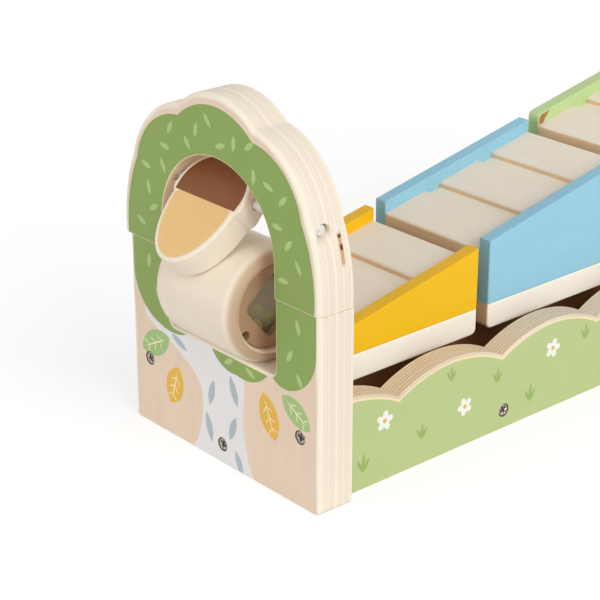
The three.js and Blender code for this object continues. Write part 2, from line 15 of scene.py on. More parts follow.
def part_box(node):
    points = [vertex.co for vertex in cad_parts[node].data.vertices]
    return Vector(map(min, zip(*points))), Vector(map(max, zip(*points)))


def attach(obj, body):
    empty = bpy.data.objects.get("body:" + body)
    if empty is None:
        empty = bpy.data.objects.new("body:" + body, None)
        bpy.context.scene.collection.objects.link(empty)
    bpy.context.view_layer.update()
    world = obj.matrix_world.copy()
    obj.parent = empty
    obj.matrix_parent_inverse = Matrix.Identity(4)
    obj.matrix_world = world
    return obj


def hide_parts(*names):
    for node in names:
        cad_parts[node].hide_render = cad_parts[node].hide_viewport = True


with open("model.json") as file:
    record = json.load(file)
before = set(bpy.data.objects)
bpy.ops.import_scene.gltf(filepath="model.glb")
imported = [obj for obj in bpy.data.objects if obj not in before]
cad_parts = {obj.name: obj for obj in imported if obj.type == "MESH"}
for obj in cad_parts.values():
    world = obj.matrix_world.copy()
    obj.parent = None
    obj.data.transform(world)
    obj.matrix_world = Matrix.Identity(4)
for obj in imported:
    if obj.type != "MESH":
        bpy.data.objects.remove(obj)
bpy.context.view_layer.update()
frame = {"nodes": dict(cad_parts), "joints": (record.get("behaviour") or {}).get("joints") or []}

MM = 0.001
X = Vector((1, 0, 0))
Y = Vector((0, 1, 0))
Z = Vector((0, 0, 1))

# Camera of the photograph: its place in metres, its direction, and its focal length in pixels
CAMERA_PLACE = (-0.60562, -0.54553, 0.37366)
CAMERA_AZIMUTH = -40.98
CAMERA_ELEVATION = 23.206
FOCAL_PIXELS = 1825.24
PICTURE_PIXELS = 600
SENSOR_WIDTH = 36

# Light: each lamp's azimuth, elevation and share of a white surface that faces it
LAMPS = {"soft_key": (-5, 30, 0.5), "soft_fill": (-95, 12, 0.28)}
LAMP_ANGLE = 35
SKY_SHARE = 0.52  # of a white surface under the whole sky
FLOOR_ALBEDO = 0.8
FLOOR_SEEN_ALBEDO = 0.45  # with its glow, white where nothing shades it
FLOOR_GLOW = 0.635
FLOOR_HALF = 8
WHITE = (1, 1, 1, 1)

# Facets
ARC_STEPS = 28
CORNER_STEPS = 8
EDGE_STEPS = 5
LATHE_SIDES = 96
PIN_SIDES = 32
LEAF_STEPS = 10
STROKE_STEPS = 6
BLADE_STEPS = 5
VEIN_STEPS = 4
PETAL_SIDES = 14
HEART_SIDES = 12
CURVE_STEPS = 7
BEAD_SUBDIVISIONS = 4
SHARP_ANGLE = 38
SAME_POINT = 1e-3
DRAWING_TOLERANCE = 1e-6
CUT_TOLERANCE = 1e-7

# Colours in 8-bit display values; tones are those of the light ply, the dark ply and the glue line
EDGE_TONES = ((248, 238, 222), (230, 211, 184), (204, 173, 134))
# Warmer, darker ply tones for the arch's opening: painted warm shade inside the opening
OPENING_SHADE_TONES = ((248, 222, 188), (230, 200, 164), (196, 160, 122))
HILL_TONES = ((241, 228, 205), (212, 186, 150), (124, 98, 72))
# Darker ends of the turned barrel: partly end grain, partly painted shade of the arch's near leg
END_GRAIN_AND_SHADE = (194, 165, 136)
KNOT_TAN = (204, 150, 108)
KNOT_BROWN = (108, 60, 38)
# Colours of the panes' haze: painted reflection of the room
PANE_REFLECTION_HAZE = ((226, 206, 172), (210, 190, 158))
RAMP_COLOURS = {"yellow": (245, 192, 4), "blue": (151, 205, 227), "green": (194, 220, 154)}
WALL_TOP_AND_END_SHADE = 0.9  # painted shade: the walls' tops and low ends take a darker copy of the paint
FLECK_SHADE = 0.62  # of the dark grain
MATT = 0.3  # specular level of woods and paints

# Marks of the grain, as their sizes across and along it
BROAD_GRAIN = (10, 34)
STREAK_LENGTH = 38
FLECK_GRAIN = (0.32, 4.5)
PAINT_BROAD_GRAIN = (18, 60)
PAINT_FINE_GRAIN = (0.8, 26)
PLY_GRAIN = (0.5, 16)

# Marks without a grain, as their number in a metre on each axis
PLY_WOBBLE = (28, 28, 28)
GLUE_FADING = (55, 55, 55)
KNOT_SPOTS = (360, 360, 360)
STEEL_PATCHES = (420, 420, 420)
STEEL_SCRATCHES = (5200, 900, 5200)
HAZE_PATCHES = (90, 90, 90)
MIDDLE = (0.3, 0.7)  # where most values of a noise lie

# Tree end
LEDGE_Z = 53.5
WINDOW_HALF = 35.5
FOOT_ROUND = 2.6
BOARD_ROUND = 2.5  # front edges of the thick boards
BACK_SHARE = 0.25  # of that on the tree's back edges
RIM_ROUND = 0.5  # edges of the openings
FOOT_EDGE = 0.5  # edges that stand on the floor
WINDOW_CORNER = 4
LEDGE_ROUND = 1.3  # bare front edge of the ledge
SEAM_SPARE = 6  # drawn past the joint, then cut off
PANEL_SPARE = 12  # a cutter's reach past the surface
SEAM_GAP = 0.12
PAINT_TO_SEAM = 0.1
ARCH_HALF = 64
ARCH_SHIFT = 2
ARCH_OPENING_RADIUS = 36.5
ARCH_SPRING_RISE = 13
SHOULDER_NOTCH = (57, 37.5)  # from the middle, above the joint
CROWN_NOTCH = (24.4, 67)
ARCH_BULGES = (2.4, 6.5, 9)  # of the side, shoulder and crown lobes
PAINT_INSET = 3.2  # bare rim round the arch's paint
SHOULDER_INSET = (1.25, 0.3)  # moves of the paint's notches for each millimetre of that
CROWN_INSET = (0.2, 1.6)
PAINT_BULGES = (2.6, 6.6, 9.2)
LAYERS = 9  # plies in a thick board
KNOT_PLACE = (13.4, -60, 113)  # in the arch's near edge, from the tree's front
KNOT_HALF = (1, 9, 6.5)
ROD_RADIUS = 2.4
ROD_CHAMFER = 0.4
ROD_MOUTH_RADIUS = 3
ROD_MOUTH_DEPTH = 8
ROD_HOLE_RADIUS = 2.5
ROD_REACH = 0.9  # past the solid's near end, to just inside the edge
FLARE_REACH = 1.7  # from there the mouth opens out

# Acorn flap
ACORN_THICK = 12.5
ACORN_ROUND = 1
CAP_HALF = 21.3
CAP_RISE = 14.5
CAP_WIDEST = 4
CAP_LIP = 1
NECK_DROP = 9.5
NUT_HALF = 19.4
NUT_LENGTH = 38
ACORN_HOLE_RADIUS = 2.65
ACORN_RIM = 1.9  # bare rim round the paint
CAP_PAINT_LOW = 8.2  # edge between the cap's and the nut's paint, below the rod
CAP_PAINT_CORNER = 0.4
NUT_PAINT_SWEEP = (-176, -4)
NUT_PAINT_CORNER = 2
NUT_PAINT_BULGE = 0.7
LEAN_GAP = 0.3

# Roller
ROLLER_WALL = 6.4
ROLLER_END_ROUND = (4.5, 6)  # across and along
ROLLER_END_DARKENING = (21.5, 24.8)  # it darkens between these distances from the middle: partly end grain, partly painted shade
MOUTH_RADIUS = 19.3
MOUTH_SET_IN = 1.2  # edge of the recess, behind the end's highest ring
MOUTH_SWEEP = (90, 165)
MOUTH_CHAMFER = 0.4
MOUTH_HIGHLIGHT = 0.55  # painted highlight: a light line along that edge
PANE_SHOULDER = 1.5
DISC_THICK = 4
DISC_RECESS = 2.5
DISC_GAP = 0.12
DISC_ROUND = 0.45
PANE_THICK = 1.5
DIAMOND_HALF = 14.4
DIAMOND_ROUND = 2.5
DIAMOND_TURN = -6
RIM_NOTCH_RADIUS = 2.3
RIM_NOTCH_INSET = 1.1
RIM_NOTCH_ANGLE = 215
BEAD_RADIUS = 3.75

# Hills
SCALLOPS = 5
HILL_NOTCH_Z = 36.5
SCALLOP_BULGE = 8
HILL_ROUND = 0.8
HILL_PAINT_INSET = 2.1
HILL_PAINT_SPARE = 9  # drawn past the board's ends and foot
HILL_LAYERS = 14

# Ramp blocks
RAMP_TILT = 11.5
WALL_ROUND = 0.8
BASE_END_ROUND = 3
BASE_ROUND = 1
TREADS = 3
GROOVE_WIDTH = 9
GROOVE_DEPTH = 2.5
TREAD_ROUND = 1.6
QUARTER_RISE = 1 - sqrt(0.5)  # of a quarter round, as a share of its radius
BED_ROUND = 0.25
CHIPPED_WALL = "green_wall_far"
CHIP = (  # from its low upper corner
    (0.2, 2), (0.3, -4), (1.2, -8), (3, -6.2), (4.4, -3.6), (6.4, -1.4), (9.6, 2.6),
)
WORN_CORNER = 2.4

# Rear panel
REAR_SIDE_Z = 104
REAR_CROWN_HALF = 22
REAR_CROWN_RISE = 28
REAR_SIDE_BULGE = 7
REAR_CROWN_BULGE = 8

# Screws
HEAD_RADIUS = 2.9
HEAD_SUNK = 0.35
HEAD_CHAMFER = (0.25, 0.2)  # across and along
HEAD_EDGE = 0.6
HEAD_DEPTH = 2.5
POCKET_RADIUS = 3.2
POCKET_RINGS = ((0.985, 0.15), (0.96, 1.2))  # share of the rim, and depth
SHANK_RADIUS = 1.75
SCREW_LENGTH = 35
SCREW_TIP = 4
THREAD_PITCH = 1.4
THREAD_DEPTH = 0.35
CROSS_REACH = 2.1
CROSS_HALF = 0.55
CROSS_RINGS = ((-1, 1.1), (1.5, 0.55))  # depth, and share of the cross
SCREW_TURN = 37  # from each screw to the next
SOFT_EDGE = 0.5  # of the solids that stay

# How squarely a face has to face a way to be taken for that side
FRONT_FACING = 0.9
WALL_EDGE_FACING = 0.6
RISER_FACING = 0.85
BASE_END_FACING = 0.7

# Painted motifs of the tree: places across and up, sizes and angles
TRUNK = (
    (-20, -6), (20, -6), (16, 8), (13, 22), (16, 34), (30, 43), (52, 52), (47, 60),
    (20, 60), (-10, 60), (-15, 44), (-14, 24), (-17, 8),
)
BARK_MARKS = (
    (-8, 37, 14, 4.4, 70), (7, 31, 13, 4.2, 105), (-7, 19, 13, 4.2, 110),
    (9, 14, 14, 4.4, 75), (-11, 4, 12, 4, 68), (29, 47, 12, 3.4, 25),
)
PANEL_LEAVES = (
    ("green", (46, 41), 23, 12, -28), ("yellow", (33, 25), 20, 12, -72),
    ("yellow", (-31, 34), 21, 12, -112), ("green", (-48, 42), 20, 11, -150),
)
VEIN_WIDTH = 0.8
VEIN_REACH = 0.8  # of the leaf's length
SIDE_VEINS = (-0.22, 0, 0.22)  # their starts from the middle, in the leaf's lengths
SIDE_VEIN_LEAN = 48
SIDE_VEIN_OUT = 0.2  # in the leaf's widths
SIDE_VEIN_REACH = 0.36
SIDE_VEIN_WIDTH = 0.6
STROKE_LENGTH = 7
PANEL_STROKE_WIDTH = 2.6
PANEL_STROKES = (
    (49, 79, 100), (43, 65, 60), (-49, 80, 75), (-44, 66, 120),
    (-50, 57, 60), (-19, 49.5, 25), (-5, 49.8, 150),
)
ARCH_STROKE_WIDTH = 2.5
ARCH_STROKES = 20
ARCH_STROKE_STEP = 10
ARCH_STROKE_RADII = (51.5, 42.5, 47)
ARCH_STROKE_LEANS = (30, -35, 65, -10)

# Painted motifs of the hills: places across and up, sizes and turns
DAISIES = (
    (-134, 28, 9, 10), (-86, 19, 8.5, 40), (-30, 30, 9, 0),
    (14, 14, 8.5, 25), (66, 30, 9, 5), (118, 17, 8.5, 50),
)
PETALS = 5
PETAL_OUT = 0.3  # in the flower's sizes
PETAL_LENGTH = 0.46
PETAL_WIDTH = 0.34
HEART_RADIUS = 0.13
TUFTS = (
    (-146, 8, 9), (-112, 12, 8), (-95, 34, 7), (-66, 24, 8), (-44, 8, 9), (-8, 28, 8),
    (34, 30, 8), (48, 8, 9), (88, 14, 8), (98, 34, 7), (140, 28, 8),
)
BLADES = ((-28, 0.8), (2, 1), (30, 0.75))  # lean, and share of the tuft's size
BLADE_WIDTH = 0.2


def srgb(colour):
    """Linear colour of 8-bit display values."""
    shares = [value / 255 for value in colour]
    linear = [s / 12.92 if s <= 0.04045 else ((s + 0.055) / 1.055) ** 2.4 for s in shares]
    return (*linear, 1)


def shade(colour, factor):
    """A linear colour made lighter or darker."""
    return (*[min(1, channel * factor) for channel in colour[:3]], 1)


def box(node):
    """Lowest and highest corner of a node, in millimetres."""
    low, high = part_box(node)
    return low / MM, high / MM


def joint_place(name):
    joint = next(j for j in frame["joints"] if j["name"] == name)
    return Vector(joint["pos_m"]) / MM


def plane(across, up, inward, origin):
    """Matrix that takes a drawing's (across, up, depth) in millimetres to metres in the scene."""
    turn = Matrix((across, up, inward)).transposed().to_4x4()
    return Matrix.Scale(MM, 4) @ Matrix.Translation(origin) @ turn


def new_object(name, data):
    made = bpy.data.objects.new(name, data)
    bpy.context.scene.collection.objects.link(made)
    return made


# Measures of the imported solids
tree_front = box("tree_panel")[0].x
board_layer = (box("tree_panel")[1].x - tree_front) / LAYERS
hill_low, hill_high = box("hill_panel_near")
hill_layer = (hill_high.y - hill_low.y) / HILL_LAYERS
rod = joint_place("acorn_swing")
rod_low, rod_high = box("acorn_rod")
along_rod = plane(Z, X, Y, X * rod.x + Z * rod.z)
axle = joint_place("roller_spin")
barrel_low, barrel_high = box("roller_barrel")
along_axle = plane(X, Z, Y, axle)
roller_radius = (barrel_high.z - barrel_low.z) / 2
roller_end = (barrel_high.y - barrel_low.y) / 2
bore = roller_radius - ROLLER_WALL
cavity_end = roller_end - DISC_RECESS - DISC_THICK - PANE_THICK - 2 * LEAN_GAP


# Drawing
def polar(centre, radius, angle):
    """Point at a distance from a centre, at an angle in degrees."""
    turn = radians(angle)
    return Vector((centre[0] + radius * cos(turn), centre[1] + radius * sin(turn)))


def bearing(start, end):
    """Angle in degrees of the way from one point to another."""
    return degrees(atan2(end[1] - start[1], end[0] - start[0]))


class Path:
    """Outline drawn anticlockwise. Each point has the rounding of the board's edge there."""

    def __init__(self, top_end_shade=0):
        self.points = []
        self.edges = []
        self.top_end_shade = top_end_shade

    def rounded(self, top_end_shade):
        """Sets the rounding of the edge from here on."""
        self.top_end_shade = top_end_shade
        return self

    def to(self, across, up):
        point = Vector((across, up))
        if not self.points or (point - self.points[-1]).length > SAME_POINT:
            self.points.append(point)
            self.edges.append(self.top_end_shade)
        return self

    def sweep(self, centre, radii, first, last, steps=CORNER_STEPS):
        """Stretch of a circle or an ellipse about a centre, between two angles in degrees."""
        wide, high = radii if isinstance(radii, tuple) else (radii, radii)
        for i in range(steps + 1):
            angle = radians(first + (last - first) * i / steps)
            self.to(centre[0] + wide * cos(angle), centre[1] + high * sin(angle))
        return self

    def bulge(self, across, up, rise, steps=ARC_STEPS):
        """Arc to the next point, bulging out of the outline."""
        start = self.points[-1]
        end = Vector((across, up))
        chord = end - start
        radius = chord.length_squared / (8 * rise) + rise / 2
        outward = Vector((chord.y, -chord.x)).normalized()
        centre = (start + end) / 2 + outward * (rise - radius)
        first = bearing(centre, start)
        last = bearing(centre, end)
        if last < first:
            last += 360
        return self.sweep(centre, radius, first, last, steps)

    def taper(self, first, last):
        """Spreads a change of rounding over the corner just drawn."""
        for i in range(CORNER_STEPS + 1):
            self.edges[i - CORNER_STEPS - 1] = first + (last - first) * i / CORNER_STEPS
        return self

    def close(self):
        """Drops a last point that repeats the first."""
        if (self.points[0] - self.points[-1]).length < SAME_POINT:
            self.points.pop()
            self.edges.pop()
        return self

    def inset(self):
        """Points moved in by their edges' rounding. A point too near a corner for that is dropped."""
        while True:
            inward = mitres(self.points)
            moved = [p + m * e for p, m, e in zip(self.points, inward, self.edges)]
            crowded = []
            for i in range(len(moved)):
                if (moved[i] - moved[i - 1]).dot(self.points[i] - self.points[i - 1]) <= 0:
                    crowded.append(min(i, i - 1, key=lambda k: abs(inward[k].length - 1)))
            if not crowded:
                return moved
            self.points.pop(crowded[0])
            self.edges.pop(crowded[0])


def circle(centre, radius, steps=PIN_SIDES):
    return Path().sweep(centre, radius, 0, 360, steps).close().points


def blade(root, tip, width, steps):
    """Pointed oval between two points."""
    path = Path().to(*root)
    path.bulge(*tip, width / 2, steps).bulge(*root, width / 2, steps)
    return path.close().points


def leaf(centre, length, width, angle, steps=CORNER_STEPS):
    """Pointed oval with its long way at an angle in degrees."""
    return blade(polar(centre, -length / 2, angle), polar(centre, length / 2, angle), width, steps)


def oval(centre, length, width, angle):
    """Ellipse with its long way at an angle in degrees."""
    turn = Matrix.Rotation(radians(angle), 2)
    points = Path().sweep((0, 0), (length / 2, width / 2), 0, 360, PETAL_SIDES).close().points
    return [Vector(centre) + turn @ point for point in points]


def smooth(corners):
    """Closed curve through corners, which run anticlockwise."""
    path = Path()
    count = len(corners)
    for i in range(count):
        a, b, c, d = [Vector(corners[(i + k - 1) % count]) for k in range(4)]
        for k in range(CURVE_STEPS):
            t = k / CURVE_STEPS
            point = b + (c - a) * (t / 2) + (2 * a - 5 * b + 4 * c - d) * (t * t / 2)
            path.to(*(point + (3 * b - a - 3 * c + d) * (t ** 3 / 2)))
    return path.close().points


def mitres(points):
    """Inward mitre at each corner of a loop that keeps the wood on its left."""
    found = []
    for i, here in enumerate(points):
        before = (here - points[i - 1]).normalized()
        after = (points[(i + 1) % len(points)] - here).normalized()
        left = Vector((-before.y, before.x))
        right = Vector((-after.y, after.x))
        found.append((left + right) / (1 + left.dot(right)))
    return found


def area(points):
    return sum(points[i - 1].cross(points[i]) for i in range(len(points))) / 2


# Meshes
def triangulate(loops, pockets, regions):
    """Triangles of a face with its paint regions.

    The first loop is the outline and the others are holes. Returns the points, the triangles with the
    number of the region that each lies in or -1, and each point's (loop, place) or None.
    """
    first_region = len(loops) + len(pockets)
    holes = set(range(1, first_region))
    points = []
    faces = []
    origin = []
    for number, shape in enumerate([*loops, *pockets, *regions]):
        run = list(range(len(points), len(points) + len(shape)))
        points += shape
        origin += [(number, place) for place in range(len(shape))]
        faces.append(run[::-1] if number in holes else run)
    made = delaunay_2d_cdt(points, [], faces, 1, DRAWING_TOLERANCE, True)
    spots, _, found, spot_sources, _, found_owners = made
    kept = []
    for triangle, owners in zip(found, found_owners):
        if 0 in owners and not holes.intersection(owners):
            kept.append((triangle, max(max(owners) - first_region, -1)))
    used = sorted({i for triangle, _ in kept for i in triangle})
    number = {i: k for k, i in enumerate(used)}
    flat = [spots[i] for i in used]
    sources = [min((origin[k] for k in spot_sources[i]), default=None) for i in used]
    triangles = []
    for triangle, region in kept:
        a, b, c = [number[i] for i in triangle]
        turned = (flat[b] - flat[a]).cross(flat[c] - flat[a]) < 0
        triangles.append(([a, c, b] if turned else [a, b, c], region))
    return flat, triangles, sources


def rims(triangles):
    """Loops of points round the triangles, with the triangles on the left."""
    directed = {(t[i], t[(i + 1) % 3]) for t in triangles for i in range(3)}
    following = {a: b for a, b in sorted(directed) if (b, a) not in directed}
    loops = []
    while following:
        at = next(iter(following))
        loop = []
        while at in following:
            loop.append(at)
            at = following.pop(at)
        loops.append(loop)
    return loops


class Mesh:
    """Points and faces with material numbers, gathered before they become an object."""

    def __init__(self):
        self.points = []
        self.faces = []
        self.skins = []

    def point(self, across, up, depth):
        self.points.append(Vector((across, up, depth)))
        return len(self.points) - 1

    def face(self, corners, skin):
        self.faces.append(corners)
        self.skins.append(skin)

    def strip(self, first, second, skin):
        """Faces between two rings of as many points; a ring on an axis repeats its one point."""
        count = len(first)
        for i in range(count):
            k = (i + 1) % count
            self.face(list(dict.fromkeys([first[i], first[k], second[k], second[i]])), skin)

    def strips(self, rings, skin):
        for first, second in zip(rings, rings[1:]):
            self.strip(first, second, skin)

    def build(self, name, place, materials):
        mesh = bpy.data.meshes.new(name)
        mesh.from_pydata([place @ point for point in self.points], [], self.faces)
        mesh.polygons.foreach_set("material_index", self.skins)
        for material in materials:
            mesh.materials.append(material)
        return new_object(name, mesh)


def board(name, paths, thick, place, skins, regions=(), pockets=(), back_share=1):
    """Board of an outline and its holes, with rounded edges and a painted front.

    skins is one material, or those of the front, edge, back and pockets. regions are (material, points)
    and pockets are round points, all on the front. The front lies at depth 0, and the edges of the back
    have a share of the front's rounding.
    """
    front, top_end_shade, back, pocket = skins if isinstance(skins, tuple) else (skins,) * 4
    materials = [top_end_shade, front, back, pocket]
    for material, _ in regions:
        if material not in materials:
            materials.append(material)
    slot = {material: i for i, material in enumerate(materials)}

    caps = [path.inset() for path in paths]
    flat, triangles, sources = triangulate(caps, pockets, [points for _, points in regions])
    mesh = Mesh()
    for point in flat:
        mesh.point(*point, 0)
    for triangle, region in triangles:
        mesh.face(triangle, slot[front if region < 0 else regions[region][0]])

    back_loops = []
    for loop in rims([triangle for triangle, _ in triangles]):
        owners = [sources[i][0] for i in loop if sources[i]]
        owner = next(number for number in owners if number < len(paths) + len(pockets))
        if owner >= len(paths):
            sink(mesh, loop, slot[pocket])
            continue
        edges = loop_edges(paths[owner], [sources[i] for i in loop], owner)
        rings = edge_rings(mesh, loop, edges, thick, back_share)
        mesh.strips(rings, slot[top_end_shade])
        back_loops.append(rings[-1])
    back_loops.sort(key=lambda ring: -abs(area([mesh.points[i].xy for i in ring])))
    close_back(mesh, back_loops, slot[back])
    return finished(mesh.build(name, place, materials))


def loop_edges(path, sources, owner):
    """Edge rounding at each point of a walked loop; a point between corners takes its neighbour's."""
    known = [path.edges[s[1]] if s and s[0] == owner else None for s in sources]
    latest = next(value for value in reversed(known) if value is not None)
    result = []
    for value in known:
        latest = latest if value is None else value
        result.append(latest)
    return result


def edge_rings(mesh, loop, edges, thick, back_share):
    """Rings of points from a loop of the front, over its rounded edge, to the back."""
    cap = [mesh.points[i].xy for i in loop]
    inward = mitres(cap)
    front_steps = [(step, False) for step in range(EDGE_STEPS - 1, -1, -1)]
    back_steps = [(step, True) for step in range(EDGE_STEPS + 1)]
    rings = [loop]
    for step, is_back in front_steps + back_steps:
        angle = pi / 2 * step / EDGE_STEPS
        share = back_share if is_back else 1
        ring = []
        for point, mitre, radius in zip(cap, inward, edges):
            depth = share * radius * (1 - sin(angle))
            spread = radius * (1 - share + share * cos(angle))
            ring.append(mesh.point(*(point - mitre * spread), thick - depth if is_back else depth))
        rings.append(ring)
    return rings


def sink(mesh, loop, skin):
    """Pocket below a loop of the front face."""
    rim = [mesh.points[i] for i in loop]
    middle = sum(rim, Vector((0, 0, 0))) / len(rim)
    rings = [loop]
    for share, depth in POCKET_RINGS:
        rings.append([mesh.point(*(middle + (p - middle) * share).xy, depth) for p in rim])
    mesh.strips(rings, skin)
    mesh.face(rings[-1], skin)


def close_back(mesh, loops, skin):
    """Back face over the last rings of a board."""
    shapes = [[mesh.points[i].xy for i in ring] for ring in loops]
    _, triangles, sources = triangulate(shapes, [], [])
    for triangle, _ in triangles:
        mesh.face([loops[sources[i][0]][sources[i][1]] for i in triangle], skin)


def edit(made, change):
    """Runs a change on an object's mesh."""
    work = bmesh.new()
    work.from_mesh(made.data)
    change(work)
    work.to_mesh(made.data)
    work.free()
    return made


def even_shading(made):
    made.modifiers.new("even_shading", "WEIGHTED_NORMAL").keep_sharp = True


def finished(made):
    """Faces point out, and corners sharper than the limit stay crisp."""
    edit(made, lambda work: bmesh.ops.recalc_face_normals(work, faces=work.faces))
    made.data.shade_smooth()
    made.data.set_sharp_from_angle(angle=radians(SHARP_ANGLE))
    if not made.modifiers:
        even_shading(made)
    return made


def recolour(made, material, chosen):
    """Gives a material to the faces that a test picks."""
    made.data.materials.append(material)
    last = len(made.data.materials) - 1
    for face in made.data.polygons:
        if chosen(face):
            face.material_index = last


def trim(made, height, keep_below):
    """Cuts a board flat at a height in millimetres and closes the cut."""

    def change(work):
        cut = bmesh.ops.bisect_plane(
            work,
            geom=[*work.verts, *work.edges, *work.faces],
            dist=CUT_TOLERANCE,
            plane_co=Z * height * MM,
            plane_no=Z,
            clear_outer=keep_below,
            clear_inner=not keep_below,
        )
        edges = [part for part in cut["geom_cut"] if isinstance(part, bmesh.types.BMEdge)]
        bmesh.ops.edgeloop_fill(work, edges=edges, mat_nr=0)

    return finished(edit(made, change))


def drill(made, cutter):
    """Cuts another object out of this one; the cut's faces take the cutter's material."""
    made.data.materials.append(cutter.data.materials[0])
    for face in cutter.data.polygons:
        face.material_index = len(made.data.materials) - 1
    made.modifiers.clear()
    tool = made.modifiers.new("drill", "BOOLEAN")
    tool.operation = "DIFFERENCE"
    tool.solver = "EXACT"
    tool.object = cutter
    shapes = bpy.context.evaluated_depsgraph_get()
    result = bpy.data.meshes.new_from_object(made.evaluated_get(shapes))
    made.modifiers.clear()
    made.data = result
    bpy.data.objects.remove(cutter)
    return finished(made)


def lathe(name, profile, place, skin, sides=LATHE_SIDES):
    """Turned piece. The profile's points are (radius, along); it closes on itself or on the axis."""
    mesh = Mesh()
    rings = []
    for radius, along in profile:
        if radius < SAME_POINT:
            rings.append([mesh.point(0, 0, along)] * sides)
            continue
        angles = [2 * pi * i / sides for i in range(sides)]
        rings.append([mesh.point(radius * cos(a), radius * sin(a), along) for a in angles])
    if profile[0][0] > SAME_POINT:
        rings.append(rings[0])
    mesh.strips(rings, 0)
    return finished(mesh.build(name, place, [skin]))


# Materials; a grain's axis is 0, 1 or 2 for X, Y or Z
def feed(tree, socket, value):
    """Links an output to a socket, or sets the socket's own value."""
    if isinstance(value, bpy.types.NodeSocket):
        tree.links.new(value, socket)
    else:
        socket.default_value = value


def setup(tree, node, named):
    """Feeds a node's inputs by their names; names without capitals are its settings."""
    for key, value in named.items():
        if key.islower():
            setattr(node, key, value)
        else:
            feed(tree, node.inputs[key.replace("_", " ")], value)


def new_node(tree, kind, *inputs, **named):
    """Node with its first inputs in order and others by name."""
    made = tree.nodes.new("ShaderNode" + kind)
    setup(tree, made, named)
    for socket, value in zip(made.inputs, inputs):
        feed(tree, socket, value)
    return made


class Shader:
    """A material's nodes, with short calls for the ones that repeat."""

    def __init__(self, name):
        self.material = bpy.data.materials.new(name)
        self.material.use_nodes = True
        self.tree = self.material.node_tree
        self.surface = self.tree.nodes["Principled BSDF"]
        self.place = self.node("TexCoord").outputs["Object"]

    def node(self, kind, *inputs, **named):
        return new_node(self.tree, kind, *inputs, **named)

    def noise(self, scale, detail=3, roughness=0.5, distortion=0):
        """Noise on the piece's own place, with a number of marks in a metre on each axis."""
        place = self.node("Mapping", self.place, Scale=scale).outputs[0]
        settings = {"Detail": detail, "Roughness": roughness, "Distortion": distortion}
        return self.node("TexNoise", place, Scale=1, **settings).outputs[0]

    def grain(self, along, size, **settings):
        """Noise with long marks along one axis, of a size across and along it in millimetres."""
        scale = [1 / (size[0] * MM)] * 3
        scale[along] = 1 / (size[1] * MM)
        return self.noise(scale, **settings)

    def math(self, operation, first, second=0.0):
        return self.node("Math", first, second, operation=operation).outputs[0]

    def span(self, value, low, high, to_low=0.0, to_high=1.0):
        """Maps a range of values to another, with a soft start and end."""
        ranges = (low, high, to_low, to_high)
        return self.node("MapRange", value, *ranges, interpolation_type="SMOOTHSTEP").outputs[0]

    def mix(self, share, first, second):
        made = self.node("Mix", share, data_type="RGBA")
        feed(self.tree, made.inputs[6], first)
        feed(self.tree, made.inputs[7], second)
        return made.outputs[2]

    def axis(self, number, place=None):
        return self.node("SeparateXYZ", self.place if place is None else place).outputs[number]

    def bump(self, height, depth, strength=1.0):
        """Relief of a depth in millimetres."""
        made = self.node("Bump", Strength=strength, Distance=depth * MM, Height=height)
        self.set(Normal=made.outputs["Normal"])

    def set(self, **named):
        """Feeds the surface's inputs and returns the material."""
        setup(self.tree, self.surface, named)
        return self.material

    def satin(self, colour, source, low, high, **named):
        """Surface with a roughness that goes from low to high with a noise."""
        rough = self.span(source, *MIDDLE, low, high)
        return self.set(Base_Color=colour, Roughness=rough, **named)


def wood(name, light, dark, along, roughness=0.5, streak=0.9, flecks=0.1, contrast=0.5, relief=0.04,
         ends=None):
    """Bare wood: broad tone, fine streaks and short dark flecks along the grain. The ends of a turned
    piece, from one distance to another along Y, can take a darker colour: partly end grain, partly painted
    shade."""
    shader = Shader(name)
    half_tones = ((1 - contrast) / 4, (1 + contrast) / 4)
    broad = shader.grain(along, BROAD_GRAIN, detail=2, distortion=0.6)
    fine = shader.grain(along, (streak, STREAK_LENGTH), detail=4, roughness=0.62)
    fleck = shader.grain(along, FLECK_GRAIN, detail=2, roughness=0.6)
    broad_tone = shader.span(broad, *MIDDLE, *half_tones)
    fine_tone = shader.span(fine, 0.3, 0.72, *half_tones)
    colour = shader.mix(shader.math("ADD", broad_tone, fine_tone), srgb(light), srgb(dark))
    mark = shader.math("MULTIPLY", shader.span(fleck, 0.62, 0.74), flecks)
    colour = shader.mix(mark, colour, shade(srgb(dark), FLECK_SHADE))
    if ends:
        start, full = ends
        reach = shader.math("ABSOLUTE", shader.axis(1))
        colour = shader.mix(shader.span(reach, start * MM, full * MM), colour, srgb(END_GRAIN_AND_SHADE))
    shader.bump(shader.math("SUBTRACT", fine, mark), relief)
    return shader.satin(colour, fine, roughness - 0.06, roughness + 0.08, Specular_IOR_Level=MATT)


def painted(name, colour, along, roughness=0.45, variation=0.03, relief=0.03, tint=1):
    """Thin satin paint that lets a little of the wood's grain show."""
    shader = Shader(name)
    base = shade(srgb(colour), tint)
    broad = shader.grain(along, PAINT_BROAD_GRAIN, detail=3, roughness=0.55)
    fine = shader.grain(along, PAINT_FINE_GRAIN, detail=4, roughness=0.6)
    broad_tone = shader.span(broad, 0.25, 0.75, 0, 0.65)
    fine_tone = shader.span(fine, *MIDDLE, 0, 0.35)
    tone = shader.math("ADD", broad_tone, fine_tone)
    mixed = shader.mix(tone, shade(base, 1 + variation), shade(base, 1 - variation))
    shader.bump(fine, relief)
    return shader.satin(mixed, broad, roughness - 0.05, roughness + 0.06, Specular_IOR_Level=MATT)


